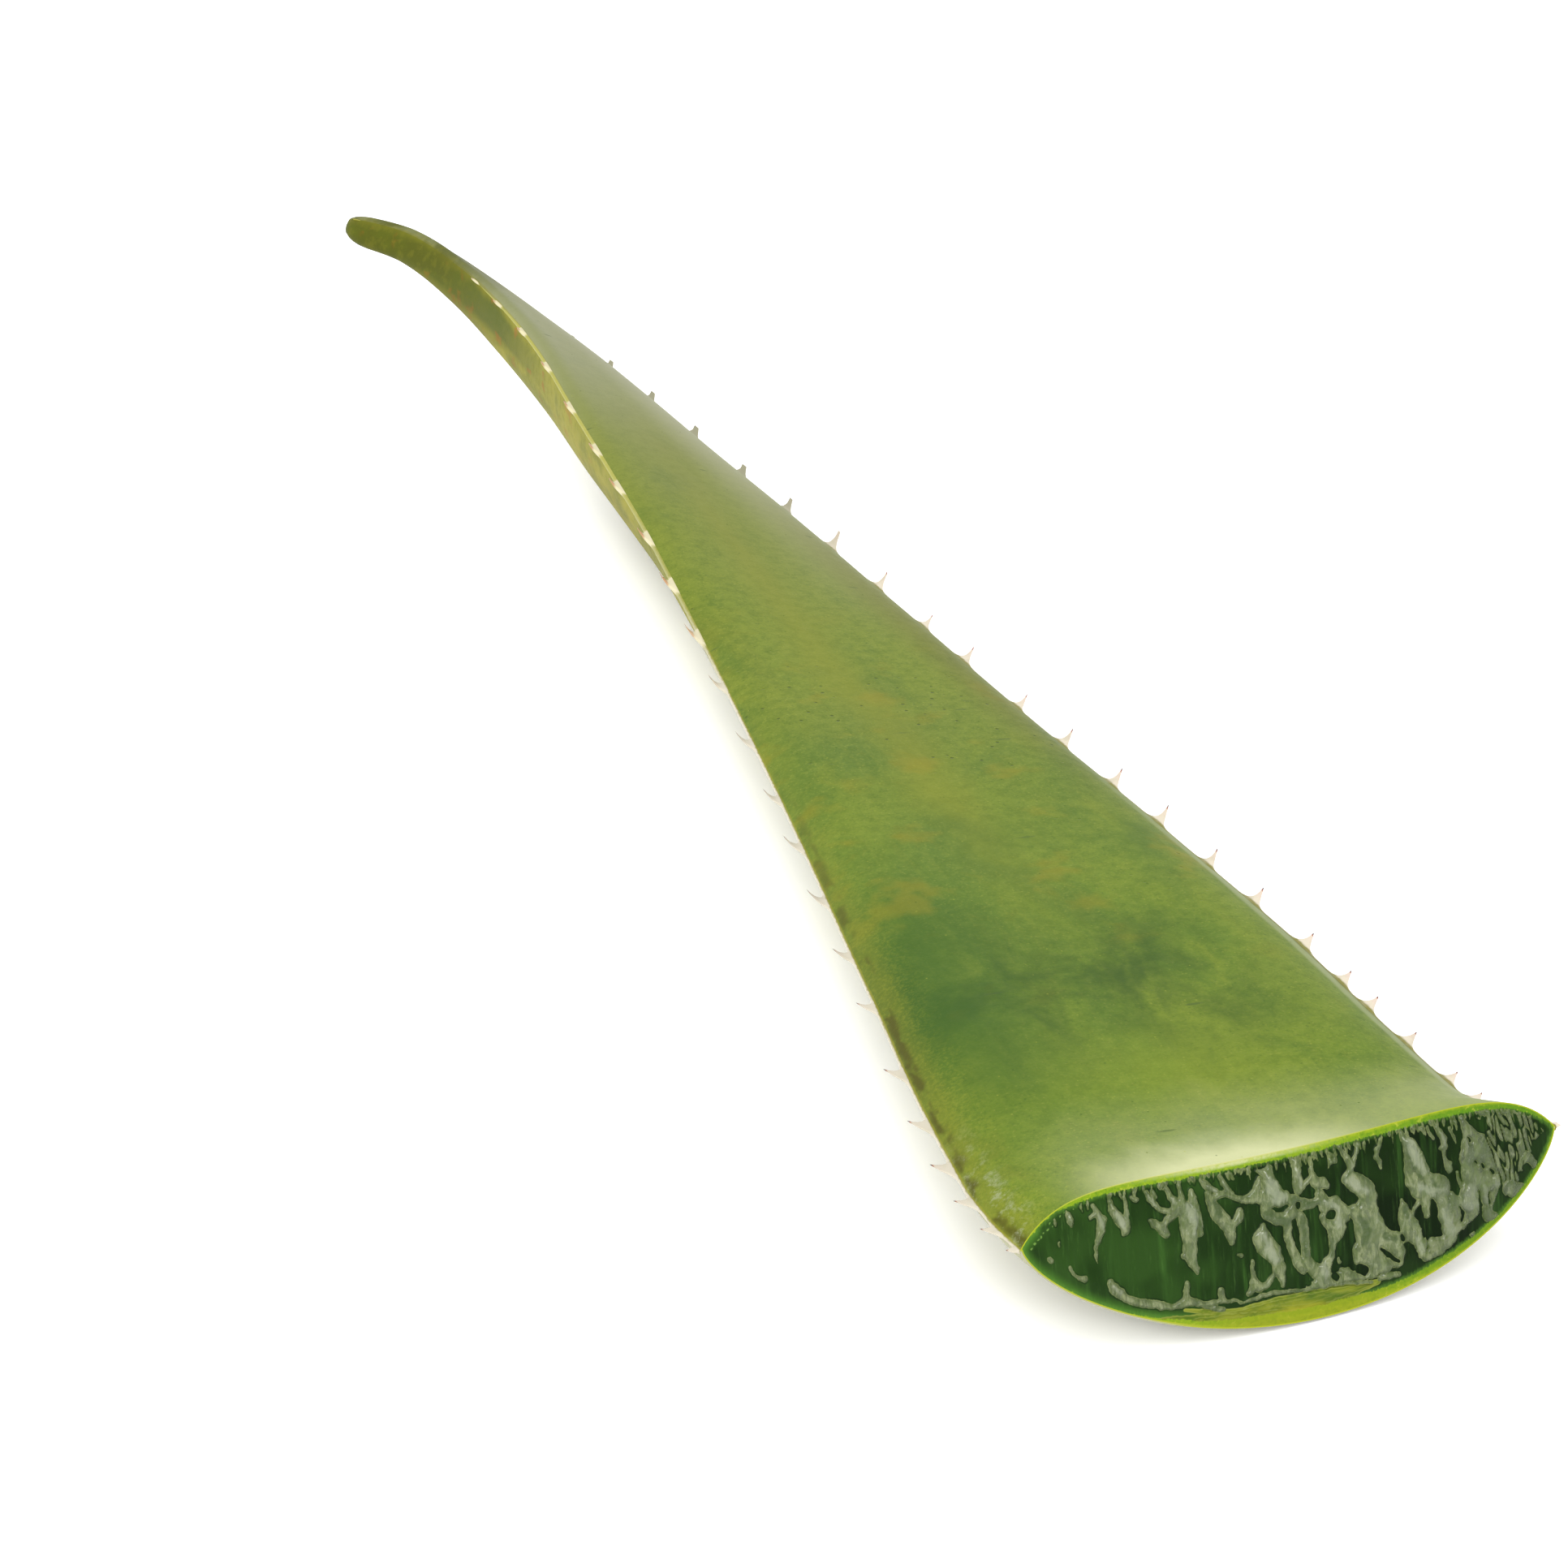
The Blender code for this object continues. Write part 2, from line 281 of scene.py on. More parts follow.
# %% Grid for the skin
BACK_FACES = 34                 # from the middle of the back to a margin
TOP_FACES = 62                  # from margin to margin over the top
ROWS = 400
END = 509.0                     # where the last row closes the tip
TIP_ROUND = 9.0                 # the tip rounds off over this length
WAVE, WAVES_PER_MM = 0.10, 0.02         # the upper face waves by this share of its height

quarter = np.arange(BACK_FACES) / BACK_FACES * math.pi / 2
over = np.arange(TOP_FACES) / TOP_FACES * math.pi
last = np.arange(BACK_FACES + 1) / BACK_FACES * math.pi / 2
round_u = np.concatenate((np.sin(quarter), np.cos(over), -np.cos(last)))
round_upper = np.zeros(len(round_u), bool)
round_upper[BACK_FACES:BACK_FACES + TOP_FACES] = True
row_places = [END * (j / ROWS) for j in range(ROWS + 1)]


def flat_grid(name, columns, lines):
    """A flat grid, and the column and the line of each of its points."""
    bpy.ops.object.select_all(action="DESELECT")
    bpy.ops.mesh.primitive_grid_add(x_subdivisions=columns, y_subdivisions=lines, size=1.0)
    sheet = bpy.context.object
    sheet.name = name
    places = points_of(sheet.data)
    return (sheet, np.rint((places[:, 0] + 0.5) * columns).astype(int),
            np.rint((places[:, 1] + 0.5) * lines).astype(int))


def points_of(mesh):
    found = np.empty(len(mesh.vertices) * 3)
    mesh.vertices.foreach_get("co", found)
    return found.reshape(-1, 3)


def set_points(mesh, points):
    mesh.vertices.foreach_set("co", np.asarray(points).reshape(-1))
    mesh.update()


def keep(mesh, **marks):
    """Keeps numbers for each point of the mesh, for the shader or for later steps."""
    for name, values in marks.items():
        if name not in mesh.attributes:
            mesh.attributes.new(name, "FLOAT", "POINT")
        mesh.attributes[name].data.foreach_set("value", np.asarray(values, dtype=np.float32))


print("points round a ring of the skin:", len(round_u))


# %% Wrap the grid round the leaf
def outer_row(y):
    """One row of the outer skin, in mm, and the way round it from the right margin."""
    short = min(max(y - (END - TIP_ROUND), 0.0) / TIP_ROUND, 1.0)
    small = max(1.0 - short ** 2.6, 0.0) ** 0.5
    near = min(y, LENGTH)
    wave = noise.noise(Vector((near * WAVES_PER_MM, 3.1, 0.0)))
    half = half_at(near) * small
    crown = half * crown_at(near) * (1.0 + WAVE * wave)
    row = section(y, half, crown, depth_at(near) * small, round_u, round_upper)
    row[:, 2] = np.maximum(row[:, 2], 0.0)
    steps = np.linalg.norm(np.diff(row, axis=0), axis=1)
    way = np.concatenate(([0.0], np.cumsum(steps)))
    return row, way - way[BACK_FACES]


skin, column, row_number = flat_grid("leaf_skin", len(round_u) - 1, ROWS)
rows, ways = zip(*(outer_row(y) for y in row_places))
rows, ways = np.array(rows), np.array(ways)
set_points(skin.data, rows[row_number, column] * MM)

# Past a margin, on the back, the way from it is counted below zero.
top_way = ways[:, BACK_FACES + TOP_FACES]
from_right = ways[row_number, column]
from_left = top_way[row_number] - from_right
full_way = ways[:, -1] - ways[:, 0]
from_left = np.where(column < BACK_FACES,
                     -(full_way[row_number] - top_way[row_number] + from_right), from_left)
from_right = np.where(column > BACK_FACES + TOP_FACES,
                      -(full_way[row_number] - from_right), from_right)
keep(skin.data, along=np.array(row_places)[row_number], from_right=from_right,
     from_left=from_left, place=column, inner=np.zeros(len(column)))
print("way over the top at the cut:", round(float(top_way[0]), 1), "mm")

# %% [markdown]
# The seam of the grid runs along the middle of the back, where nobody sees it. Merging
# by distance closes it, and it also gathers the last row into one point at the tip.

# %% Close the seam and draw the skin into the pocket
WALL_MARGIN, WALL_TOP, WALL_BACK = 3.0, 1.5, 2.2
WALL_FULL = 6.0                 # the wall reaches its full thickness this far behind the cut
MOUTH_LIP = 0.3                 # its thickness at the cut
POCKET_END = 440.0
POCKET_TAPER, POCKET_LAST = 40.0, 0.55  # it narrows over this length, to this share
WALL_RINGS = (0.0, 1.0, 3.0, 6.0, 20.0, 50.0, 90.0, 140.0, 190.0, 240.0, 290.0,
              330.0, 360.0, 380.0, 400.0, 420.0, 440.0)


def pocket(y, gap, u, upper):
    """A ring of the pocket, or with a gap the flesh in it. It flares to a thin lip."""
    close = min(1.0, (POCKET_END - y) / POCKET_TAPER + POCKET_LAST)
    thick = min(y / WALL_FULL, 1.0)
    lip = MOUTH_LIP * (1.0 - thick)
    half = max(half_at(y) - WALL_MARGIN * thick - lip, 1.4) * close - gap
    crown = max(half_at(y) * crown_at(y) - WALL_TOP * thick - lip, 0.8) * close - gap
    depth = (depth_at(y) - WALL_BACK * thick - lip) * close - gap
    return section(y, half, crown, depth, u, upper)


def only(thing):
    """Selects one object and makes it active."""
    bpy.ops.object.select_all(action="DESELECT")
    thing.select_set(True)
    bpy.context.view_layer.objects.active = thing


def merge_and_open(thing, distance):
    """Merges points that lie closer than the distance, then selects the open edges."""
    only(thing)
    bpy.ops.object.mode_set(mode="EDIT")
    bpy.ops.mesh.select_mode(type="VERT")
    bpy.ops.mesh.select_all(action="SELECT")
    bpy.ops.mesh.remove_doubles(threshold=distance)
    bpy.ops.mesh.select_all(action="DESELECT")
    bpy.ops.mesh.select_mode(type="EDGE")
    bpy.ops.mesh.select_non_manifold(extend=False)


def close_and_turn():
    """Closes the selected loop with a face and turns all faces outward."""
    bpy.ops.mesh.edge_face_add()
    bpy.ops.mesh.select_all(action="SELECT")
    bpy.ops.mesh.normals_make_consistent(inside=False)
    bpy.ops.object.mode_set(mode="OBJECT")


def draw_on(thing, place_of, **marks):
    """Extrudes the selected loop, moves its new points by their kept place and marks them."""
    bpy.ops.mesh.extrude_region_move()
    bpy.ops.object.mode_set(mode="OBJECT")
    mesh = thing.data
    chosen = np.zeros(len(mesh.vertices), bool)
    mesh.vertices.foreach_get("select", chosen)
    kept = np.empty(len(mesh.vertices), np.float32)
    mesh.attributes["place"].data.foreach_get("value", kept)
    points = points_of(mesh)
    points[chosen] = place_of(kept[chosen]) * MM
    set_points(mesh, points)
    for name, value in marks.items():
        mesh.attributes[name].data.foreach_get("value", kept)
        kept[chosen] = value
        keep(mesh, **{name: kept})
    bpy.ops.object.mode_set(mode="EDIT")


def wall(y):
    """Places on a ring of the pocket's wall."""
    ring = pocket(y, 0.0, round_u, round_upper)
    return lambda kept: ring[np.rint(kept).astype(int)]


def lip(share):
    """Places between the outer edge of the cut and the pocket's mouth."""
    ring = rows[0] * (1.0 - share) + pocket(0.0, 0.0, round_u, round_upper) * share
    return lambda kept: ring[np.rint(kept).astype(int)]


merge_and_open(skin, 1e-6)
draw_on(skin, lip(0.1), inner=1.0)
for y in WALL_RINGS:
    draw_on(skin, wall(y), inner=1.0)
close_and_turn()
print("skin:", len(skin.data.polygons), "faces")

# %% [markdown]
# ## A helper for shader sums
# A procedural finish is a sum of masks and noises. Written node by node it is hard to
# read, so a small class wraps a socket: sums and products of wrapped sockets add
# their Math nodes, and one method adds any other node.


# %% Wires and boards
PICKED = 0.53                   # colours are set darker by this, because the light is strong


def tint(red, green, blue):
    """A colour as picked on screen, 0 to 255, made linear for the shader."""
    def linear(value):
        value /= 255.0
        light = value / 12.92 if value <= 0.04045 else ((value + 0.055) / 1.055) ** 2.4
        return light * PICKED
    return (linear(red), linear(green), linear(blue), 1.0)


class Wire:
    """One output socket, usable in sums as a number is."""

    def __init__(self, board, socket):
        self.board = board
        self.socket = socket

    def sum_of(self, operation, first, second):
        return self.board.node("ShaderNodeMath", {"operation": operation},
                               {0: first, 1: second})[0]

    def __add__(self, other):
        return self.sum_of("ADD", self, other)

    __radd__ = __add__

    def __sub__(self, other):
        return self.sum_of("SUBTRACT", self, other)

    def __rsub__(self, other):
        return self.sum_of("SUBTRACT", other, self)

    def __mul__(self, other):
        return self.sum_of("MULTIPLY", self, other)

    __rmul__ = __mul__

    def __truediv__(self, other):
        return self.sum_of("DIVIDE", self, other)

    def least(self, other):
        return self.sum_of("MINIMUM", self, other)

    def most(self, other):
        return self.sum_of("MAXIMUM", self, other)


class Board:
    """A material's node board, with short ways to add the nodes used here."""

    def __init__(self, name):
        self.material = bpy.data.materials.new(name)
        self.material.use_nodes = True
        self.tree = self.material.node_tree
        self.shader = self.tree.nodes["Principled BSDF"]
        self.place = self.node("ShaderNodeTexCoord", {}, {})["Object"]

    def put(self, socket, value):
        if isinstance(value, Wire):
            self.tree.links.new(value.socket, socket)
        else:
            socket.default_value = value

    def node(self, kind, settings, inputs):
        """Adds a node; its outputs come back as wires by number and by name."""
        made = self.tree.nodes.new(kind)
        for name, value in settings.items():
            setattr(made, name, value)
        for name, value in inputs.items():
            self.put(made.inputs[name], value)
        wires = {}
        for number, socket in enumerate(made.outputs):
            wires[number] = Wire(self, socket)
            wires.setdefault(socket.name, wires[number])
        return wires

    def kept(self, name):
        """A number that the mesh keeps for each point."""
        return self.node("ShaderNodeAttribute", {"attribute_name": name}, {})["Fac"]

    def stretched(self, x, y, z):
        """Object coordinates scaled apart, for marks that run one way."""
        return self.node("ShaderNodeVectorMath", {"operation": "MULTIPLY"},
                         {0: self.place, 1: (x, y, z)})[0]

    def noise(self, size, detail=2.0, rough=0.5, vector=None, warp=0.0):
        """Cloudy noise from 0 to 1 whose clouds are about size mm across."""
        return self.node("ShaderNodeTexNoise", {},
                         {"Vector": vector or self.place, "Scale": 1000.0 / size,
                          "Detail": detail, "Roughness": rough, "Distortion": warp})[0]

    def dots(self, size, vector=None):
        """Distance to the nearest of scattered points, in units of their spacing, and two
        chance numbers of that point."""
        found = self.node("ShaderNodeTexVoronoi", {"feature": "F1"},
                          {"Vector": vector or self.place, "Scale": 1000.0 / size})
        parts = self.node("ShaderNodeSeparateColor", {}, {0: found["Color"]})
        return found["Distance"], parts[0], parts[1]

    def step(self, value, low, high):
        """0 below low, 1 above high and smooth between; low may be the larger."""
        start, end, a, b = (low, high, 0.0, 1.0) if low < high else (high, low, 1.0, 0.0)
        return self.node("ShaderNodeMapRange", {"interpolation_type": "SMOOTHSTEP"},
                         {0: value, 1: start, 2: end, 3: a, 4: b})[0]

    def band(self, value, low, high, soft):
        """1 between low and high, with soft flanks."""
        rise = self.step(value, low - soft, low + soft)
        return rise * self.step(value, high + soft, high - soft)

    def mix(self, share, first, second):
        """Blends two colours."""
        return self.node("ShaderNodeMix", {"data_type": "RGBA"},
                         {0: share, 6: first, 7: second})[2]

    def coats(self, base, *layers):
        """Lays colours over a base; a layer is its share, then red, green and blue."""
        for share, red, green, blue in layers:
            base = self.mix(share, base, tint(red, green, blue))
        return base

    def bump(self, height, distance, strength=1.0, under=None):
        inputs = {"Height": height, "Distance": distance, "Strength": strength}
        if under is not None:
            inputs["Normal"] = under
        return self.node("ShaderNodeBump", {}, inputs)["Normal"]

    def finish(self, **values):
        """Feeds the shader's sockets; an underscore stands for a space."""
        for name, value in values.items():
            self.put(self.shader.inputs[name.replace("_", " ")], value)
        return self.material


print("shader helper ready")

# %% [markdown]
# ## The waxy skin
# The skin is green under a thin wax. Up close it is a patchwork: olive and yellow-green
# clouds stretched along the leaf, darker green patches, fine grain, tiny pale and dark
# specks and a few scratches. The margins have their own lines: a cream edge with a yellow line
# on the left, a brown-olive line on the right with a painted sheen on the shoulder inside it.
# The wax is thickest and palest just behind the cut, with a painted sheen laid over it.

# %% Base greens
paint = Board("leaf_wax")
along = paint.kept("along")
right_mm = paint.kept("from_right")
left_mm = paint.kept("from_left")
inner = paint.kept("inner")
upper = paint.step(left_mm.least(right_mm), -0.6, 0.2)
across = left_mm / (right_mm + left_mm).most(0.1)

lengthwise = paint.stretched(1.0, 0.35, 1.0)
clouds = paint.noise(34.0, 3.0, 0.55, lengthwise, 0.6)
patches = paint.noise(13.0, 4.0, 0.6, paint.stretched(1.0, 0.6, 1.0), 0.4)
mottle = paint.noise(2.6, 3.0, 0.65)
grain = paint.noise(0.6, 3.0, 0.7)
fibre = paint.noise(1.6, 2.0, 0.6, paint.stretched(1.0, 0.08, 1.0))

green = paint.mix(paint.step(along, 60.0, 260.0), tint(108, 136, 38), tint(122, 136, 42))
green = paint.coats(
    green,
    (paint.step(clouds, 0.42, 0.62) * 0.55, 130, 148, 42),
    (paint.step(clouds, 0.5, 0.34) * 0.55, 88, 120, 40),
    (paint.step(patches, 0.52, 0.7) * 0.4, 82, 114, 38),
    (paint.step(patches, 0.46, 0.3) * 0.35, 138, 150, 46),
    (paint.step(mottle, 0.42, 0.66) * 0.34, 84, 112, 32),
    (paint.step(mottle, 0.46, 0.3) * 0.2, 142, 156, 50),
    (paint.step(grain, 0.5, 0.68) * 0.32, 148, 160, 62),
    (paint.step(grain, 0.46, 0.32) * 0.3, 76, 100, 28),
    (paint.step(fibre, 0.5, 0.7) * 0.12, 140, 150, 52))
pore_distance, pore_dark, pore_pale = paint.dots(0.75)
pores = paint.step(pore_distance, 0.36, 0.14)
green = paint.coats(
    green,
    (pores * paint.step(pore_dark, 0.6, 0.75) * 0.4, 66, 98, 26),
    (pores * paint.step(pore_pale, 0.65, 0.8) * 0.32, 172, 178, 78))
print("skin greens:", len(paint.tree.nodes), "nodes")

# %% [markdown]
# The broad changes follow the leaf: a yellower streak up the middle, darker blotches
# a hand's width from the cut, and a duller right side in the far half. A painted grey
# sheen pales that right side and the upper face towards the tip.

# %% Broad changes along the leaf
far = paint.step(along, 225.0, 385.0)
streak = paint.band(across + (clouds - 0.5) * 0.3, 0.36, 0.5, 0.1)
streak = streak * paint.band(along, 110.0, 330.0, 50.0)
blotch = paint.band(along + (clouds - 0.5) * 30.0, 46.0, 84.0, 20.0) * paint.step(across, 0.9, 0.6)
left_shade = paint.band(along, 30.0, 110.0, 24.0) * paint.step(across, 0.42, 0.12)
second = paint.band(along + (clouds - 0.5) * 30.0, 108.0, 138.0, 14.0)
second = second * paint.step(across, 0.2, 0.5)
ripe = paint.step(paint.noise(17.0, 3.0, 0.6), 0.54, 0.68) * paint.band(along, 80.0, 230.0, 40.0)
near_yellow = paint.band(along, 20.0, 44.0, 12.0) * paint.band(across, 0.3, 0.6, 0.2)
dull = paint.step(along + across * 60.0, 250.0, 410.0)
# Painted sheen: the right side of the far half and the upper face near the tip are paled grey.
far_grey_sheen = far * paint.step(across, 0.5, 0.9)
far_end_sheen = paint.step(along, 330.0, 420.0) * upper
olive = far * paint.band(left_mm, 0.8, 4.0, 2.0)
right_ripe = paint.band(along, 165.0, 300.0, 50.0) * paint.step(right_mm, 17.0, 6.0)
green = paint.coats(
    green,
    (streak * 0.5, 144, 148, 40),
    (blotch * paint.step(patches, 0.3, 0.64) * 0.78, 52, 84, 24),
    (left_shade * 0.62, 64, 100, 28),
    (second * paint.step(patches, 0.36, 0.62) * 0.45, 84, 114, 34),
    (ripe * 0.45, 152, 142, 34),
    (near_yellow * 0.4, 140, 156, 44),
    (dull * 0.6, 148, 150, 84),
    (far_grey_sheen * 0.8, 184, 184, 152),
    (far_end_sheen * 0.55, 176, 176, 150),
    (olive * 0.35, 128, 138, 44),
    (right_ripe * 0.48, 118, 116, 28))
print("broad changes:", len(paint.tree.nodes), "nodes so far")

# %% Wax and painted sheen behind the cut
# Pale band just behind the cut: wax bloom with a painted sheen over it, plus a broader, weaker
# painted sheen that grows towards the right.
wax_and_sheen = paint.step(along + (patches - 0.5) * 9.0, 11.0, -1.0) * paint.band(across, 0.2, 0.56, 0.16)
broad_sheen = paint.step(along + (patches - 0.5) * 18.0, 30.0, 3.0) * (0.1 + across * 0.26)
veil = (wax_and_sheen * 0.95 + broad_sheen) * paint.step(left_mm, 5.0, 20.0) * upper
# Painted sheen along the right shoulder, a few millimetres inside the margin.
shoulder_sheen = paint.band(right_mm + (fibre - 0.5) * 1.2, 2.0, 4.8, 0.7)
shoulder_sheen = shoulder_sheen * paint.step(along, 440.0, 280.0)
shoulder_sheen = shoulder_sheen * (1.0 - paint.step(along, 100.0, 180.0) * 0.9)
green = paint.coats(
    green,
    (veil.least(1.0), 218, 222, 168),
    (shoulder_sheen * (0.35 + fibre * 0.5), 170, 178, 128))
print("wax and pale shoulder:", len(paint.tree.nodes), "nodes so far")

# %% Back of the leaf
back = paint.mix(paint.step(clouds, 0.4, 0.6), tint(142, 138, 34), tint(160, 156, 44))
dark_top = paint.band(left_mm + (patches - 0.5) * 6.0, -8.0, -1.0, 1.5)
dark_top = dark_top * paint.step(along, 370.0, 440.0)
pale_base = paint.step(along, 34.0, 4.0)
rust = paint.noise(4.2, 2.0, 0.5, paint.stretched(1.0, 0.6, 1.0)) + (mottle - 0.5) * 0.2
rust_spots = paint.step(rust, 0.6, 0.7) * paint.step(along, 310.0, 400.0)
back = paint.coats(
    back,
    (paint.step(mottle, 0.45, 0.66) * 0.4, 118, 122, 26),
    (paint.step(patches, 0.44, 0.62) * 0.5, 176, 168, 44),
    (paint.step(patches, 0.5, 0.38) * 0.4, 110, 118, 26),
    (paint.step(left_mm, -8.0, -24.0) * 0.35, 166, 166, 110),
    (dark_top * 0.8, 84, 98, 22),
    (pale_base * 0.8, 200, 200, 172),
    (rust_spots * paint.step(left_mm, -18.0, -5.0) * 0.5, 170, 98, 26))
colour = paint.mix(upper, back, green)
print("upper face and back:", len(paint.tree.nodes), "nodes so far")

# %% [markdown]
# The small marks lie on top: pits, yellow and dark specks of about a third of a millimetre,
# and short dark scratches. Scattered points give the specks, and a coarse noise
# decides where they gather, because on a real leaf they come in drifts.

# %% Pits, specks and scratches
drift = paint.step(paint.noise(46.0, 1.0), 0.5, 0.62)
pits = paint.step(paint.dots(3.4)[0], 0.13, 0.07) * drift * paint.band(along, 120.0, 300.0, 60.0)
colour = paint.coats(colour, (pits * 0.75 * upper, 66, 84, 30))
fleck_distance, fleck_pale, fleck_dark = paint.dots(1.9)
flecks = paint.step(fleck_distance, 0.13, 0.06)
scratch_distance = paint.dots(9.0, paint.stretched(0.3, 1.6, 1.0))[0]
scratches = paint.step(scratch_distance + (mottle - 0.5) * 0.12, 0.08, 0.035)
colour = paint.coats(
    colour,
    (flecks * paint.step(fleck_pale, 0.8, 0.86) * 0.35, 186, 192, 84),
    (flecks * paint.step(fleck_dark, 0.84, 0.88) * 0.6, 62, 92, 36),
    (scratches * 0.55 * upper, 70, 92, 44))
print("small marks:", len(paint.tree.nodes), "nodes so far")

# %% [markdown]
# The lines of the margins come last, because they cover everything. Their widths
# are in millimetres from the edge itself, with noise to keep them from looking ruled.

# %% Lines of the margins
ragged = (mottle - 0.5) * 1.6
speckle = paint.noise(0.7, 4.0, 0.75)
near_base = paint.step(along, 210.0, 60.0)
rough_zone = paint.step(left_mm + (patches - 0.5) * 14.0, 13.0, 2.0) * near_base * upper
brown_drift = paint.step(paint.noise(7.0, 3.0, 0.6, paint.stretched(1.0, 0.45, 1.0)), 0.46, 0.55)
bruise = paint.band(left_mm + ragged, 0.5, 2.4, 0.7) * brown_drift * near_base
base_stain = paint.step(left_mm + ragged * 3.0, 12.0, 3.0) * paint.step(along, 34.0, 12.0) * upper
stain_share = base_stain * paint.step(patches, 0.44, 0.58) * 0.5
pale_drift = paint.noise(3.2, 3.0, 0.6) + (speckle - 0.5) * 0.35
pale_patch = base_stain * paint.step(left_mm, 8.0, 4.0) * paint.step(pale_drift, 0.46, 0.7) * 0.6
pale_patch = pale_patch * (0.35 + paint.step(speckle, 0.42, 0.6) * 0.65)
brown = paint.band(right_mm + ragged * 0.4, 0.1, 1.5, 0.35) * paint.step(along, 430.0, 260.0)
yellow = paint.band(left_mm + ragged * 0.2, 0.1, 0.4, 0.2)
cream = paint.band(left_mm, -0.7, 0.05, 0.2) * paint.step(along, 250.0, 190.0)
tip = paint.step(along, 425.0, 480.0)
colour = paint.coats(
    colour,
    (rough_zone * paint.step(speckle, 0.42, 0.66) * 0.42, 156, 162, 54),
    (rough_zone * paint.step(speckle, 0.48, 0.3) * 0.4, 94, 108, 32),
    (rough_zone * paint.step(left_mm, 7.0, 2.5) * 0.4, 134, 136, 38),
    (bruise * 0.85, 82, 80, 20),
    (stain_share, 108, 106, 34),
    (pale_patch, 172, 180, 144),
    (brown * 0.85, 98, 96, 36),
    (yellow * 0.7, 160, 154, 52),
    (cream * 0.85, 206, 200, 168),
    (tip * (0.48 + paint.step(patches, 0.42, 0.56) * 0.42), 90, 94, 24),
    (tip * paint.step(mottle, 0.46, 0.66) * 0.15, 160, 154, 52))
print("lines of the margins:", len(paint.tree.nodes), "nodes so far")

# %% Lip and inside of the skin
lip_colour = paint.mix(paint.step(left_mm, -36.0, -22.0) * (1.0 - upper),
                       tint(184, 194, 44), tint(196, 194, 168))
# Painted highlight on the upper lip, left of the middle of the cut.
lip_highlight = paint.band(across, 0.2, 0.56, 0.16) * upper
lip_colour = paint.coats(lip_colour, (lip_highlight * 0.7, 230, 228, 168))
colour = paint.mix(paint.step(inner, 0.4, 0.6), colour, lip_colour)
print("lip:", len(paint.tree.nodes), "nodes so far")

# %% Surface of the skin
relief = paint.bump(mottle, 0.0001, 0.3)
relief = paint.bump(grain, 0.00005, 0.6, relief)
relief = paint.bump(1.0 - pits, 0.0003, 0.6, relief)
skin_paint = paint.finish(
    Base_Color=colour, Roughness=0.46 + mottle * 0.12 + flecks * 0.1, Normal=relief,
    Specular_IOR_Level=0.06)


def dress(piece, finish, angle):
    """Gives a piece its finish and smooth shading up to an angle in degrees."""
    piece.data.materials.append(finish)
    only(piece)
    bpy.ops.object.shade_smooth_by_angle(angle=math.radians(angle))
    print(piece.name, "carries", finish.name, "of", len(finish.node_tree.nodes), "nodes")


dress(skin, skin_paint, 40.0)
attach(skin, "root")
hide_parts("rind")

# %% [markdown]
# ## The cut face
# The knife left a flat, wet face. Clear jelly fills it and looks dark green, because light
# sinks into it. Slime has run down it in silvery films, which hang from the upper rim, join
# into nets and gather in a pool along the bottom. Each film is laid out as a few round
# strokes: a row of points with a radius, across and above the line between the
# margins, in mm. The distance to the nearest stroke then gives both the relief
# and the colour.

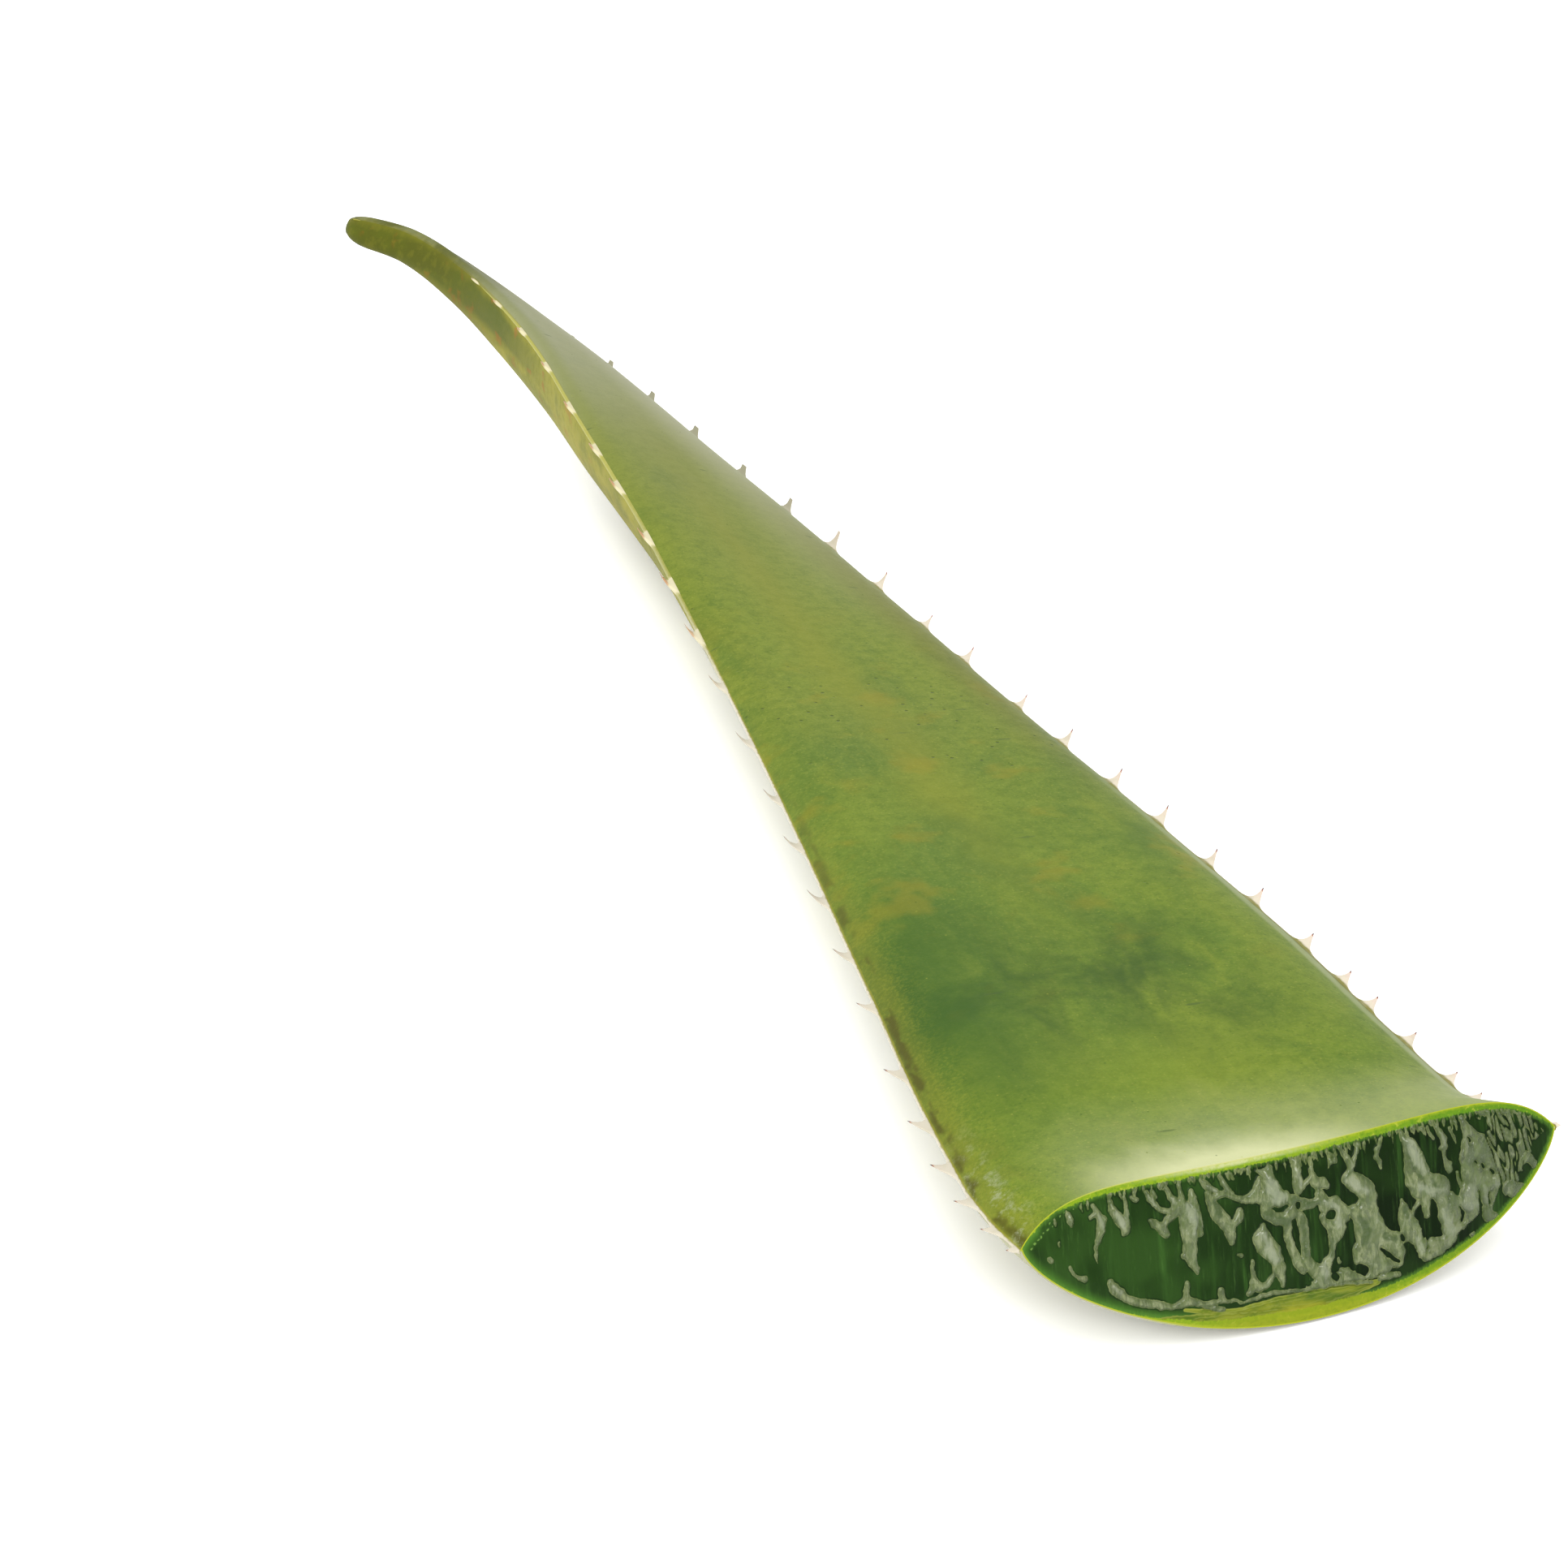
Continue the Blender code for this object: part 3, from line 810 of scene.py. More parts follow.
# %% Films on the left part of the face
FILMS_LEFT = (
    ((-38.6, 3.8, .45), (-38.4, 2.8, .5), (-38.2, 1.9, .25)),
    ((-35.1, 2.6, .3), (-34.2, 2.9, .35)),
    ((-34.3, 4.2, .4), (-33.9, 3.2, .45), (-33.2, 1.9, .75), (-33.6, .4, .7),
     (-34.3, -1.3, .45), (-34.7, -2.2, .25), (-34.8, -3.2, .3), (-34.7, -4.4, .12)),
    ((-31.5, 4.4, .4), (-31.3, 3.0, .6), (-30.6, 1.8, .8), (-29.8, .6, .9), (-29.4, -.3, .85)),
    ((-29.1, 4.6, .3), (-29.0, 3.2, .35), (-29.1, 1.8, .4), (-29.2, .4, .5), (-29.8, -1.0, .35)),
    ((-27.8, 4.3, .35), (-27.3, 3.7, .5)),
    ((-25.3, 4.6, .35), (-24.9, 3.4, .5), (-24.2, 2.4, .45), (-23.5, 1.5, .35),
     (-22.6, 1.0, .4), (-21.5, .7, .6)),
    ((-24.3, 4.5, .3), (-23.9, 3.4, .3)),
    ((-22.0, 4.4, .35), (-21.5, 3.0, .45), (-20.9, 2.4, .6), (-20.6, 1.2, .9), (-21.0, .6, .9)),
    ((-19.9, 4.6, .3), (-19.6, 3.2, .35), (-19.6, 2.0, .6), (-19.5, .8, 1.2), (-18.9, -.6, 1.4),
     (-19.0, -2.2, 1.5), (-18.9, -3.8, 1.4), (-19.2, -5.2, 1.2), (-19.1, -6.6, 1.1),
     (-18.9, -8.0, .75), (-18.4, -9.0, .5), (-18.3, -9.7, .3)),
    ((-17.9, 3.0, .5), (-17.8, 1.8, .7), (-17.5, .4, .7), (-17.2, -.8, .6),
     (-17.0, -2.4, .55), (-17.0, -3.8, .4)),
    ((-25.3, .1, .3), (-24.6, -.5, .6), (-23.5, -1.5, .85), (-22.8, -2.7, .6)),
    ((-23.4, -1.3, .6), (-22.4, -.4, .5), (-21.3, .2, .7)),
    ((-20.4, -6.5, .4), (-19.6, -6.3, .5)),
    ((-16.0, 4.4, .4), (-15.4, 3.6, .6), (-14.6, 2.9, .6), (-13.6, 2.3, .4)),
    ((-15.3, 2.2, .4), (-14.9, 1.2, .7), (-14.4, .0, 1.0), (-13.8, -1.4, 1.1),
     (-12.9, -2.8, 1.1), (-12.1, -4.0, 1.0), (-12.0, -5.2, .8), (-11.9, -6.2, .45)),
    ((-12.2, -3.6, .7), (-11.0, -3.2, .6), (-10.3, -2.6, .75), (-10.0, -1.5, .55)),
    ((-14.6, 1.2, .6), (-13.5, 1.6, .5), (-12.4, 1.5, .5), (-11.5, 1.1, .5), (-10.6, .5, .4),
     (-9.6, .2, .5), (-8.6, -.2, .7), (-7.5, -.1, .9)),
    ((-12.8, 4.3, .3), (-12.3, 3.2, .45), (-11.8, 2.2, .45), (-11.0, 1.4, .4)),
    ((-11.6, 4.4, .25), (-11.2, 3.6, .2)),
    ((-10.8, 4.3, .25), (-10.5, 3.4, .2)),
    ((-7.9, 4.4, .3), (-8.0, 3.6, .2)),
    ((-6.2, 3.8, .4), (-4.9, 3.2, .8), (-4.6, 1.8, 1.2), (-4.3, .2, 1.8), (-3.0, -1.2, 1.3),
     (-1.9, -1.1, .9)),
    ((-4.2, 3.9, .6), (-4.6, 1.8, 1.2)),
    ((-4.8, -.9, 1.6), (-6.2, -.4, 1.0), (-7.5, .2, .8), (-6.6, 1.5, .6), (-6.2, 2.6, .4)),
    ((-5.9, -2.2, .7), (-5.5, -3.2, .8), (-3.8, -4.2, 1.0), (-2.3, -4.6, 1.0), (-1.2, -3.6, 1.0),
     (-.5, -2.9, .8)),
    ((-6.4, -4.9, .6), (-6.8, -6.6, 1.5), (-6.2, -8.0, 1.6), (-5.2, -9.2, 1.4), (-4.6, -10.6, 1.2),
     (-4.4, -12.0, 1.1), (-4.1, -13.4, .7), (-4.0, -14.6, .4)),
    ((-2.2, -5.6, .9), (-2.3, -7.2, .7), (-2.0, -8.8, .7), (-1.6, -10.2, .7), (-1.0, -11.6, .8),
     (-.4, -13.0, .8)),
    ((-39.3, -4.2, .3), (-38.8, -5.3, .22), (-37.9, -6.1, .35), (-37.1, -6.5, .5)),
    ((-42.6, -2.3, .35), (-42.1, -2.7, .3)),
    ((-40.6, .0, .2), (-40.5, -.6, .15)),
    ((-11.1, -8.4, .2), (-10.7, -8.6, .4)),
)
print(len(FILMS_LEFT), "films on the left part")

# %% Films on the right part of the face
FILMS_RIGHT = (
    ((.4, 4.3, .5), (.4, 2.6, .8), (.3, .6, .9), (.3, -.6, .7)),
    ((.0, -4.4, .8), (.5, -5.8, .9), (.5, -8.0, .8), (.5, -10.0, .8), (.5, -11.8, .9),
     (1.6, -13.4, 1.0), (2.6, -14.6, 1.2)),
    ((-1.0, -1.8, .9), (1.0, -2.9, .9), (2.6, -3.1, .7), (3.8, -2.8, .8)),
    ((3.0, 4.2, .2), (3.0, 3.2, .25), (2.9, 2.2, .35), (3.0, 1.2, .5), (3.4, .1, .9),
     (4.6, -.3, .9), (5.3, -.9, .6)),
    ((2.9, 1.2, .35), (1.9, .5, .4), (1.2, -.2, .4)),
    ((3.6, -1.4, .6), (4.2, -2.6, .9), (4.8, -4.0, 1.2), (6.2, -3.9, 1.2), (7.4, -5.2, 1.1),
     (7.2, -6.8, 1.3), (6.2, -8.2, 1.4), (5.4, -9.6, 1.0), (5.2, -10.8, .5), (4.8, -12.0, .5),
     (3.6, -13.2, 1.2), (3.0, -14.8, 1.4)),
    ((4.2, -5.6, .8), (5.0, -7.2, 1.2)),
    ((7.8, -5.4, .7), (9.4, -5.8, .9), (10.2, -7.0, 1.2)),
    ((8.3, 4.6, .35), (8.7, 3.4, .45), (9.3, 2.6, .5), (9.8, 1.6, .6), (9.6, .6, .6),
     (9.2, -.4, 1.2), (10.6, -1.6, 1.6), (12.0, -2.9, 1.6), (12.4, -4.2, 1.5)),
    ((11.4, 4.3, .3), (11.1, 3.2, .35), (10.6, 2.4, .4), (10.1, 1.4, .5)),
    ((12.4, -4.2, 1.5), (11.6, -6.4, 2.2), (12.0, -9.0, 2.6), (12.4, -11.2, 3.0),
     (12.2, -13.6, 2.8), (13.8, -14.6, 2.2)),
    ((9.6, -11.8, 1.0), (9.6, -13.4, 1.1)),
    ((14.4, -11.4, 1.6), (16.0, -12.0, 1.5), (16.4, -14.0, 1.4), (16.2, -15.2, 1.2)),
    ((.4, -15.8, .5), (3.0, -15.6, 1.0), (6.0, -15.6, .9), (9.0, -16.0, .8), (12.0, -16.2, .9)),
    ((5.9, 4.2, .22), (6.1, 2.6, .22), (5.9, 1.8, .18)),
    ((6.4, 4.0, .3), (7.1, 3.5, .3), (7.1, 2.7, .35), (6.4, 2.6, .3), (6.3, 3.3, .25)),
    ((12.5, 4.3, .3), (12.5, 3.5, .25)),
    ((15.4, 4.4, .25), (15.3, 3.4, .3), (14.7, 2.9, .4), (14.4, 1.8, .4), (14.8, .9, .35),
     (15.1, -.2, .2)),
    ((18.0, -5.9, .35), (18.2, -7.2, .9), (18.4, -8.6, 1.3), (19.0, -10.4, 1.6),
     (20.0, -12.0, 1.4), (20.8, -13.6, 1.1), (20.7, -15.2, .6)),
    ((16.8, -11.8, 1.0), (18.2, -11.6, 1.0)),
    ((19.3, 4.6, .4), (19.6, 3.6, .6), (20.3, 2.6, 1.1), (21.0, 1.2, 1.3), (21.6, -.4, 1.3),
     (22.2, -2.0, 1.2), (22.6, -3.2, 1.1)),
    ((19.6, 2.6, .4), (19.8, .6, .6), (19.8, -1.6, .8), (20.4, -3.4, 1.3), (21.4, -4.8, 1.6),
     (23.0, -5.2, 1.6), (24.6, -4.4, 1.3), (25.6, -4.8, 1.2), (25.6, -6.2, 1.2)),
    ((22.6, -3.4, 1.2), (24.0, -4.0, 1.2)),
    ((22.2, -6.4, 1.0), (22.3, -8.0, .7), (22.3, -9.3, .5)),
    ((19.8, -8.6, .3), (20.2, -7.6, .3), (21.0, -6.8, .4)),
    ((24.8, -6.4, 1.2), (25.6, -8.0, 1.2), (25.8, -10.0, 1.5), (26.2, -12.0, 1.5),
     (26.2, -13.4, 1.1)),
    ((26.0, -13.4, 1.0), (24.4, -14.0, .8), (22.8, -13.6, .8), (22.4, -14.6, .5)),
    ((25.4, 4.4, .4), (26.0, 3.4, .6), (26.6, 2.2, .6), (26.6, 1.0, .5), (26.4, -.6, .35),
     (26.9, -2.0, .6), (27.2, -3.0, .5)),
    ((26.6, 1.0, .5), (25.9, .8, .35)),
    ((22.8, 4.8, .35), (23.3, 3.8, .35)),
    ((24.0, 4.6, .3), (24.3, 3.4, .25), (24.8, 2.6, .3)),
    ((27.8, 3.8, .25), (28.3, 2.2, .28), (28.8, .9, .15)),
    ((28.4, -3.6, .3), (28.8, -5.8, .35)),
    ((30.2, 4.8, .4), (30.6, 3.4, .7), (31.2, 2.0, 1.2), (31.6, .4, 1.9), (31.2, -1.6, 2.1),
     (31.4, -3.6, 2.3), (31.6, -5.4, 2.2), (30.8, -7.4, 2.3), (30.4, -9.4, 1.9),
     (29.4, -10.6, 1.4), (28.2, -11.6, 1.1), (26.8, -12.6, 1.0)),
    ((33.0, .6, 1.2), (33.2, -2.0, 1.6), (34.0, -4.6, 1.6), (34.4, -6.6, 1.6),
     (33.6, -8.4, 1.4), (33.2, -10.0, 1.1), (33.4, -11.8, .9)),
    ((27.0, -6.8, .5), (27.6, -8.4, 1.3), (27.6, -10.4, 1.2)),
    ((37.4, -7.8, 1.2), (38.4, -8.8, .9)),
    ((21.6, -15.6, 1.0), (24.0, -15.0, 1.0), (26.4, -14.0, .9)),
    ((33.0, -11.0, 1.0), (34.4, -12.0, .8)), ((38.4, -8.4, 1.2), (40.0, -8.8, 1.0)),
    ((41.0, -3.6, 1.0), (42.4, -5.2, .7)), ((28.6, -12.2, .5), (30.2, -14.0, .5)),
)
# The right corner is one crumpled sheet; it is laid out whole and slit afterwards.
CRUMPLED = (
    ((34.2, 4.2, .6), (36.6, 2.6, 1.4), (39.0, 1.4, 1.6), (41.4, .3, 1.4), (43.2, -.5, .8)),
    ((35.0, .4, 1.6), (38.0, -1.2, 2.0), (41.0, -2.2, 1.4)),
    ((35.6, -2.8, 1.8), (38.0, -4.0, 2.0), (40.0, -4.6, 1.2)),
    ((36.2, -5.6, 1.6), (38.2, -6.6, 1.3), (37.4, -8.0, 1.2)),
    ((33.5, 4.6, .7), (36.0, 4.2, .9), (38.5, 3.4, 1.0), (41.0, 2.2, 1.0), (43.0, 1.0, .8),
     (44.4, -.2, .4)),
)
print(len(FILMS_RIGHT), "films on the right part and", len(CRUMPLED), "strokes of crumpled sheet")

# %% Holes, slits and islands
HOLES = (
    ((2.5, -5.8, .6), (3.1, -8.2, 1.4), (3.1, -10.4, 1.4), (2.8, -12.2, .5)),
    ((8.0, -10.8, .3), (7.1, -12.2, 1.4), (7.0, -13.2, 1.3)),
    ((8.5, -7.7, .55), (8.7, -9.1, .55), (8.1, -10.8, .25)),
    ((.0, -14.9, .7), (.4, -15.3, .5)),
    ((5.0, -15.2, .5), (5.4, -15.6, .45)),
    ((9.6, -15.0, .85), (10.3, -15.5, .75)),
    ((13.7, -12.7, .2), (14.8, -14.0, .35), (16.6, -15.4, .25)),
    ((17.5, -11.5, .3), (17.7, -12.0, .35)),
    ((5.3, -5.5, .7), (5.7, -5.5, .65)),
    ((2.3, -.8, .35), (3.1, -1.2, .3)),
    ((.0, -2.7, .4), (.0, -3.1, .4)),
    ((19.0, -13.6, .45), (19.4, -15.0, .65), (19.6, -16.4, .6)),
    ((21.3, -11.4, .25), (21.5, -12.4, .25)),
    ((28.2, -9.0, .12), (28.7, -10.2, .2), (28.4, -11.4, .15)),
    ((32.0, -7.2, .08), (32.2, -9.6, .15), (32.0, -11.2, .2)),
    ((33.9, -8.0, .08), (33.6, -9.6, .12)),
    ((31.8, -2.5, .16), (32.0, -2.9, .16)),
    ((33.0, -3.2, .2), (33.3, -3.8, .2)),
    ((34.5, -4.4, .22), (34.9, -5.1, .22)),
    ((31.0, 1.6, .12), (31.3, .9, .14)),
    ((43.2, -2.5, .5), (43.0, -3.8, .65)),
    ((40.9, -5.3, .7), (41.5, -5.9, .6)),
    ((35.0, -10.6, .7), (36.2, -10.0, .9)),
    ((28.0, -13.9, .5), (30.0, -12.9, .75), (31.8, -12.1, .65)),
)
ISLANDS = (
    ((6.0, -12.5, .25), (6.1, -13.3, .32)),
    ((6.3, -14.5, .35), (7.4, -14.8, .5), (8.0, -15.3, .4)),
)
LOW_FILM = (
    ((-33.0, -8.0, .6), (-32.4, -9.0, .85), (-31.6, -9.9, .8), (-30.7, -10.8, .6),
     (-29.4, -11.7, .55), (-27.8, -12.3, .7), (-26.2, -12.8, .7), (-24.8, -13.4, .6),
     (-23.2, -13.9, .5), (-21.8, -13.9, .6), (-20.6, -13.6, .8), (-19.4, -14.0, .6),
     (-17.8, -14.7, .45), (-16.2, -14.8, .4), (-14.3, -14.8, .4), (-13.0, -15.2, .25),
     (-11.5, -15.7, .2), (-9.8, -15.9, .25), (-8.0, -15.5, .4), (-5.5, -15.6, .4),
     (-3.0, -15.9, .35), (.0, -16.3, .3), (3.0, -16.4, .3), (6.0, -16.6, .3),
     (9.0, -17.1, .25), (11.5, -17.5, .25)),
    ((-20.2, -11.0, .5), (-20.6, -12.2, .42), (-20.6, -13.4, .6)),
    ((-14.6, -13.1, .5), (-14.6, -14.4, .5)),
    ((-8.9, -9.9, .35), (-8.9, -11.6, .4), (-9.0, -13.0, .7), (-8.2, -14.1, .75),
     (-6.8, -14.0, .6), (-5.5, -12.8, .4)),
    ((-9.0, -13.6, .8), (-9.8, -14.7, .6)),
    ((-17.5, -15.2, .3), (-16.0, -15.7, .5), (-14.6, -16.2, .4)),
    ((12.8, -17.3, .5), (14.6, -17.2, .6), (16.4, -17.4, .4)),
)
POOL = (
    ((-21.0, -14.9, .3), (-18.0, -15.8, .45), (-15.0, -16.6, .55), (-12.0, -17.2, .65),
     (-9.0, -17.3, .9), (-5.0, -17.6, 1.3), (.0, -18.0, 1.6), (4.0, -18.1, 1.5),
     (8.0, -18.0, 1.1), (11.0, -17.9, .7), (12.6, -17.8, .5)),
)
# Ends of veins: pale beads just inside the upper rim at the left.
BEADS = tuple(((x, y, r), (x + 0.12, y + 0.1, r * 0.9)) for x, y, r in (
    (-45.2, -.1, .1), (-44.6, .5, .17), (-44.0, 1.0, .08), (-43.5, 1.3, .13), (-42.9, 1.8, .09),
    (-42.3, 2.3, .13), (-41.7, 3.0, .1), (-41.3, 2.5, .06), (-40.8, 3.3, .09), (-39.9, 3.8, .11),
    (-39.2, 4.2, .06), (-37.6, 4.5, .09), (-36.6, 4.7, .1), (-35.6, 4.8, .06), (-34.9, 5.1, .08)))
# Where films carry a painted silvery reflection, and where they are thin and olive.
SILVER_SHEEN = (
    ((-38.5, 3.4, .2), (-38.3, 2.4, .2)), ((-33.6, 2.4, .3), (-33.2, 1.0, .4)),
    ((-30.8, 2.6, .35), (-30.0, .6, .45)), ((-24.9, 3.4, .25), (-24.2, 2.2, .25)),
    ((-21.2, 2.6, .35), (-21.0, 2.0, .3)),
    ((-18.9, 1.2, .6), (-18.2, -.2, .8), (-17.8, -1.8, .4), (-18.2, -3.4, .4)),
    ((-15.0, 3.3, .3), (-13.7, 2.5, .3)), ((-12.3, 3.2, .3), (-11.9, 2.2, .25)),
    ((-4.7, 2.4, .5), (-4.3, .8, 1.2), (-3.6, -.8, 1.0), (-2.4, -.9, .6)),
    ((-6.6, -6.0, .7), (-6.0, -8.2, .8), (-5.0, -10.4, .7)), ((.3, 2.6, .4), (.6, .2, .3)),
    ((4.4, -3.2, .4), (6.4, -4.4, .5), (6.6, -7.2, .6)), ((3.2, -13.0, .5), (3.2, -14.4, .6)),
    ((9.4, -1.0, .7), (10.6, -2.0, .75), (12.0, -3.1, .5)), ((9.8, 2.0, .25), (9.8, 1.2, .3)),
    ((20.2, 3.4, .5), (20.8, 1.6, .8), (21.6, -.4, .75), (22.4, -2.2, .4)),
    ((21.6, -4.4, .6), (23.6, -5.6, .7), (25.4, -5.6, .6)), ((25.2, -9.0, .5), (26.2, -12.4, .9)),
    ((20.2, -12.6, .4), (20.8, -14.6, .35)), ((26.3, 3.0, .3), (26.7, 1.4, .3)),
    ((30.6, -6.8, 1.0), (29.6, -8.8, .9), (31.2, -9.2, .8)), ((32.8, -6.8, .45), (33.2, -9.0, .5)),
    ((35.0, -6.0, .5), (35.8, -7.4, .5)), ((-32.4, -8.6, .3), (-31.6, -9.8, .25)),
)
OLIVE = (
    ((9.9, .6, .25), (8.3, -.3, .3), (8.4, -1.8, .3), (9.4, -3.2, .35), (11.2, -4.3, .3)),
    ((10.2, .6, .25), (11.8, -.7, .3), (13.1, -2.2, .3), (13.3, -3.6, .3)),
    ((-.8, -1.8, .6), (1.0, -2.8, .6), (3.4, -3.2, .5)),
    ((-5.6, -3.0, .7), (-4.0, -4.4, .7), (-2.2, -5.0, .7)),
    ((19.9, 3.4, .18), (19.9, 1.2, .2), (20.7, -1.2, .2), (22.0, -3.2, .2)),
    ((21.3, 3.6, .15), (22.4, 1.4, .2), (23.2, -1.0, .2), (23.2, -2.9, .2)),
    ((18.4, -7.4, .5), (18.6, -8.6, .5)), ((10.2, -7.0, .5), (11.4, -9.4, .8), (10.6, -11.0, .5)),
    ((23.6, -3.6, .35), (24.4, -5.0, .3)), ((.4, -5.0, .5), (.4, -11.0, .5)),
    ((-14.2, .6, .5), (-13.6, -1.6, .5)), ((-17.4, .4, .2), (-17.0, -3.0, .25)),
    ((5.0, -9.4, .4), (4.8, -11.6, .5)), ((14.4, -10.8, .5), (16.2, -11.6, .5)),
)
print(len(HOLES), "holes and slits,", len(LOW_FILM), "low films and", len(BEADS), "beads")


# %% Distances to the strokes
def inside(points, strokes, soft=0.1):
    """How far each point lies inside the nearest stroke, in mm; outside is negative."""
    depths = []
    for stroke in strokes:
        for (x0, y0, r0), (x1, y1, r1) in zip(stroke, stroke[1:]):
            step_x, step_y = x1 - x0, y1 - y0
            t = (points[:, 0] - x0) * step_x + (points[:, 1] - y0) * step_y
            t = np.clip(t / (step_x ** 2 + step_y ** 2), 0.0, 1.0)
            gap = np.hypot(points[:, 0] - x0 - t * step_x, points[:, 1] - y0 - t * step_y)
            depths.append(r0 + (r1 - r0) * t - gap)
    depths = np.array(depths)
    most = depths.max(axis=0)
    return most + soft * np.log(np.exp((depths - most) / soft).sum(axis=0))


def ramp(values, low, high):
    """0 below low and 1 above high, smooth between."""
    t = np.clip((values - low) / (high - low), 0.0, 1.0)
    return t * t * (3.0 - 2.0 * t)


def wobble(points, size, seed):
    """Smooth noise from -1 to 1 at flat points, its bumps about size mm across."""
    return np.array([noise.noise(Vector((x / size, y / size, seed))) for x, y in points])


print("stroke sums ready")

# %% [markdown]
# ### The mesh of the flesh
# The face is a fine grid again, squeezed between the upper and the lower edge of the cut.
# It covers the cut rind as well, up to a thin lip, because the knife left one wet face:
# the rind is told from the jelly by colour. The grid's rim is then extruded back along
# the pocket to its end, which makes the flesh a solid body.

# %% Flat face
FACE_ACROSS = 500
FACE_DOWN = 136
LIP = 0.26                      # the face laps a hair over the skin's lip, so no gap shows
UPPER_SIDE, LOWER_SIDE = 10.0, -10.0    # added to a kept place to tell the two sides apart

flesh, face_column, face_line = flat_grid("gel_flesh", FACE_ACROSS, FACE_DOWN)
flat = points_of(flesh.data)
share_u = np.clip(np.sin(flat[:, 0] * math.pi) * 0.5 + flat[:, 0], -1.0, 1.0)
down = 0.5 - flat[:, 1]
half0 = half_at(0.0) - LIP
crown0 = half_at(0.0) * crown_at(0.0) - LIP
depth0 = depth_at(0.0) - LIP
on_top = np.ones(len(share_u), bool)
top0 = heights(0.0, share_u, on_top, crown0, depth0)
bottom0 = heights(0.0, share_u, ~on_top, crown0, depth0)
face = np.column_stack((half0 * share_u, top0 + (bottom0 - top0) * down))
print("face grid:", len(face), "points,", round(float(2 * half0), 1), "mm across")


# %% Distance from the edge of the cut
def edge_line(upper_side):
    """The upper or the lower edge of the face as one stroke of no width."""
    u = np.sin(np.linspace(-math.pi / 2, math.pi / 2, 161))
    v = heights(0.0, u, np.full(len(u), upper_side), crown0, depth0)
    return tuple((half0 * a, b, 0.0) for a, b in zip(u, v))


from_top_edge = -inside(face, (edge_line(True),), 0.02)
from_low_edge = -inside(face, (edge_line(False),), 0.02)
print("deepest point of the face:", round(float(from_low_edge.max()), 1), "mm from the lower edge")

# %% [markdown]
# ### Relief of the wet films
# Every stroke is bent by noise, so its edge wanders as slime does. A film stands about half
# a millimetre proud, rounds off at its edge and is thicker in its middle. The crumpled
# sheet in the right corner is slit by long noise that runs down it.

# %% Short strokes that hang from the upper rim
chance = random.Random(11)
rim_line = np.array(edge_line(True))
hanging = []
x = -43.0
while x < 42.0:
    x += chance.uniform(0.35, 1.4) * (1.0 if x > -33.0 else 2.5)
    top = float(np.interp(x, rim_line[:, 0], rim_line[:, 1])) - 0.9
    long = chance.uniform(0.3, 1.0) * (2.6 if -8.0 < x < 31.0 else 1.5)
    thick = chance.uniform(0.09, 0.24)
    lean = chance.uniform(-0.1, 0.2)
    hanging.append(((x, top, thick), (x + lean, top - long * 0.5, thick * 1.1),
                    (x + lean * 2.0, top - long, thick * 0.6)))
print(len(hanging), "hanging strokes")

# %% Films in relief
# The pool's shore is an arch: its depth, its middle and its half width, in mm.
SHORE_DEPTH, SHORE_MIDDLE, SHORE_HALF = 2.9, -5.0, 23.0
warp = np.column_stack([wobble(face, 1.3, seed) * 0.22 + wobble(face, 0.5, seed + 1.0) * 0.09
                        for seed in (1.0, 5.0)])
bent = face + warp
film = inside(bent, FILMS_LEFT + FILMS_RIGHT)

# The crumples run down the face and lean a little, so their noise is turned and stretched.
lean_way = np.column_stack((face[:, 0] * 0.98 + face[:, 1] * 0.2,
                            (face[:, 1] * 0.98 - face[:, 0] * 0.2) * 0.3))
slits = abs(wobble(lean_way, 0.85, 9.0))
crumple = np.minimum(inside(bent, CRUMPLED), (slits - 0.12) * 1.6)
film = np.maximum(film, crumple)
film = np.minimum(film, -inside(bent, HOLES) * 0.9)
film = np.maximum(film, inside(bent, LOW_FILM + ISLANDS))
film = np.maximum(film, inside(bent, hanging))
pool = inside(face + warp * 0.4, POOL)
shore = SHORE_DEPTH * (1.0 - ((face[:, 0] - SHORE_MIDDLE) / SHORE_HALF) ** 2) + warp[:, 0]
pool = np.maximum(pool, np.minimum(shore - from_low_edge, 1.5))
film = np.minimum(film, np.minimum(from_top_edge - 0.75, from_low_edge - 0.5))
silver = inside(bent, SILVER_SHEEN)
olive = inside(bent, OLIVE)
beads = inside(face + warp[:, ::-1] * 0.9, BEADS, 0.03)
print("share of the face under film:", round(float((film > 0).mean()), 2))

# %% Which way the face slopes
def slope_of(heights_mm):
    """How steeply the face turns to the upper left, for the painted highlight and shade on the
    sides of films.
    """
    sheets = np.zeros((3, FACE_DOWN + 1, FACE_ACROSS + 1))
    sheets[:, face_line, face_column] = (heights_mm, face[:, 0], face[:, 1])
    rise_i, x_i, y_i = np.gradient(sheets, axis=2)
    rise_j, _, y_j = np.gradient(sheets, axis=1)
    grade_y = rise_j / np.maximum(abs(y_j), 0.03) * np.sign(y_j)
    grade_x = (rise_i - grade_y * y_i) / np.maximum(x_i, 0.03)
    return (0.6 * grade_x - 0.8 * grade_y)[face_line, face_column]


print("slopes are taken over", FACE_ACROSS, "by", FACE_DOWN, "squares")

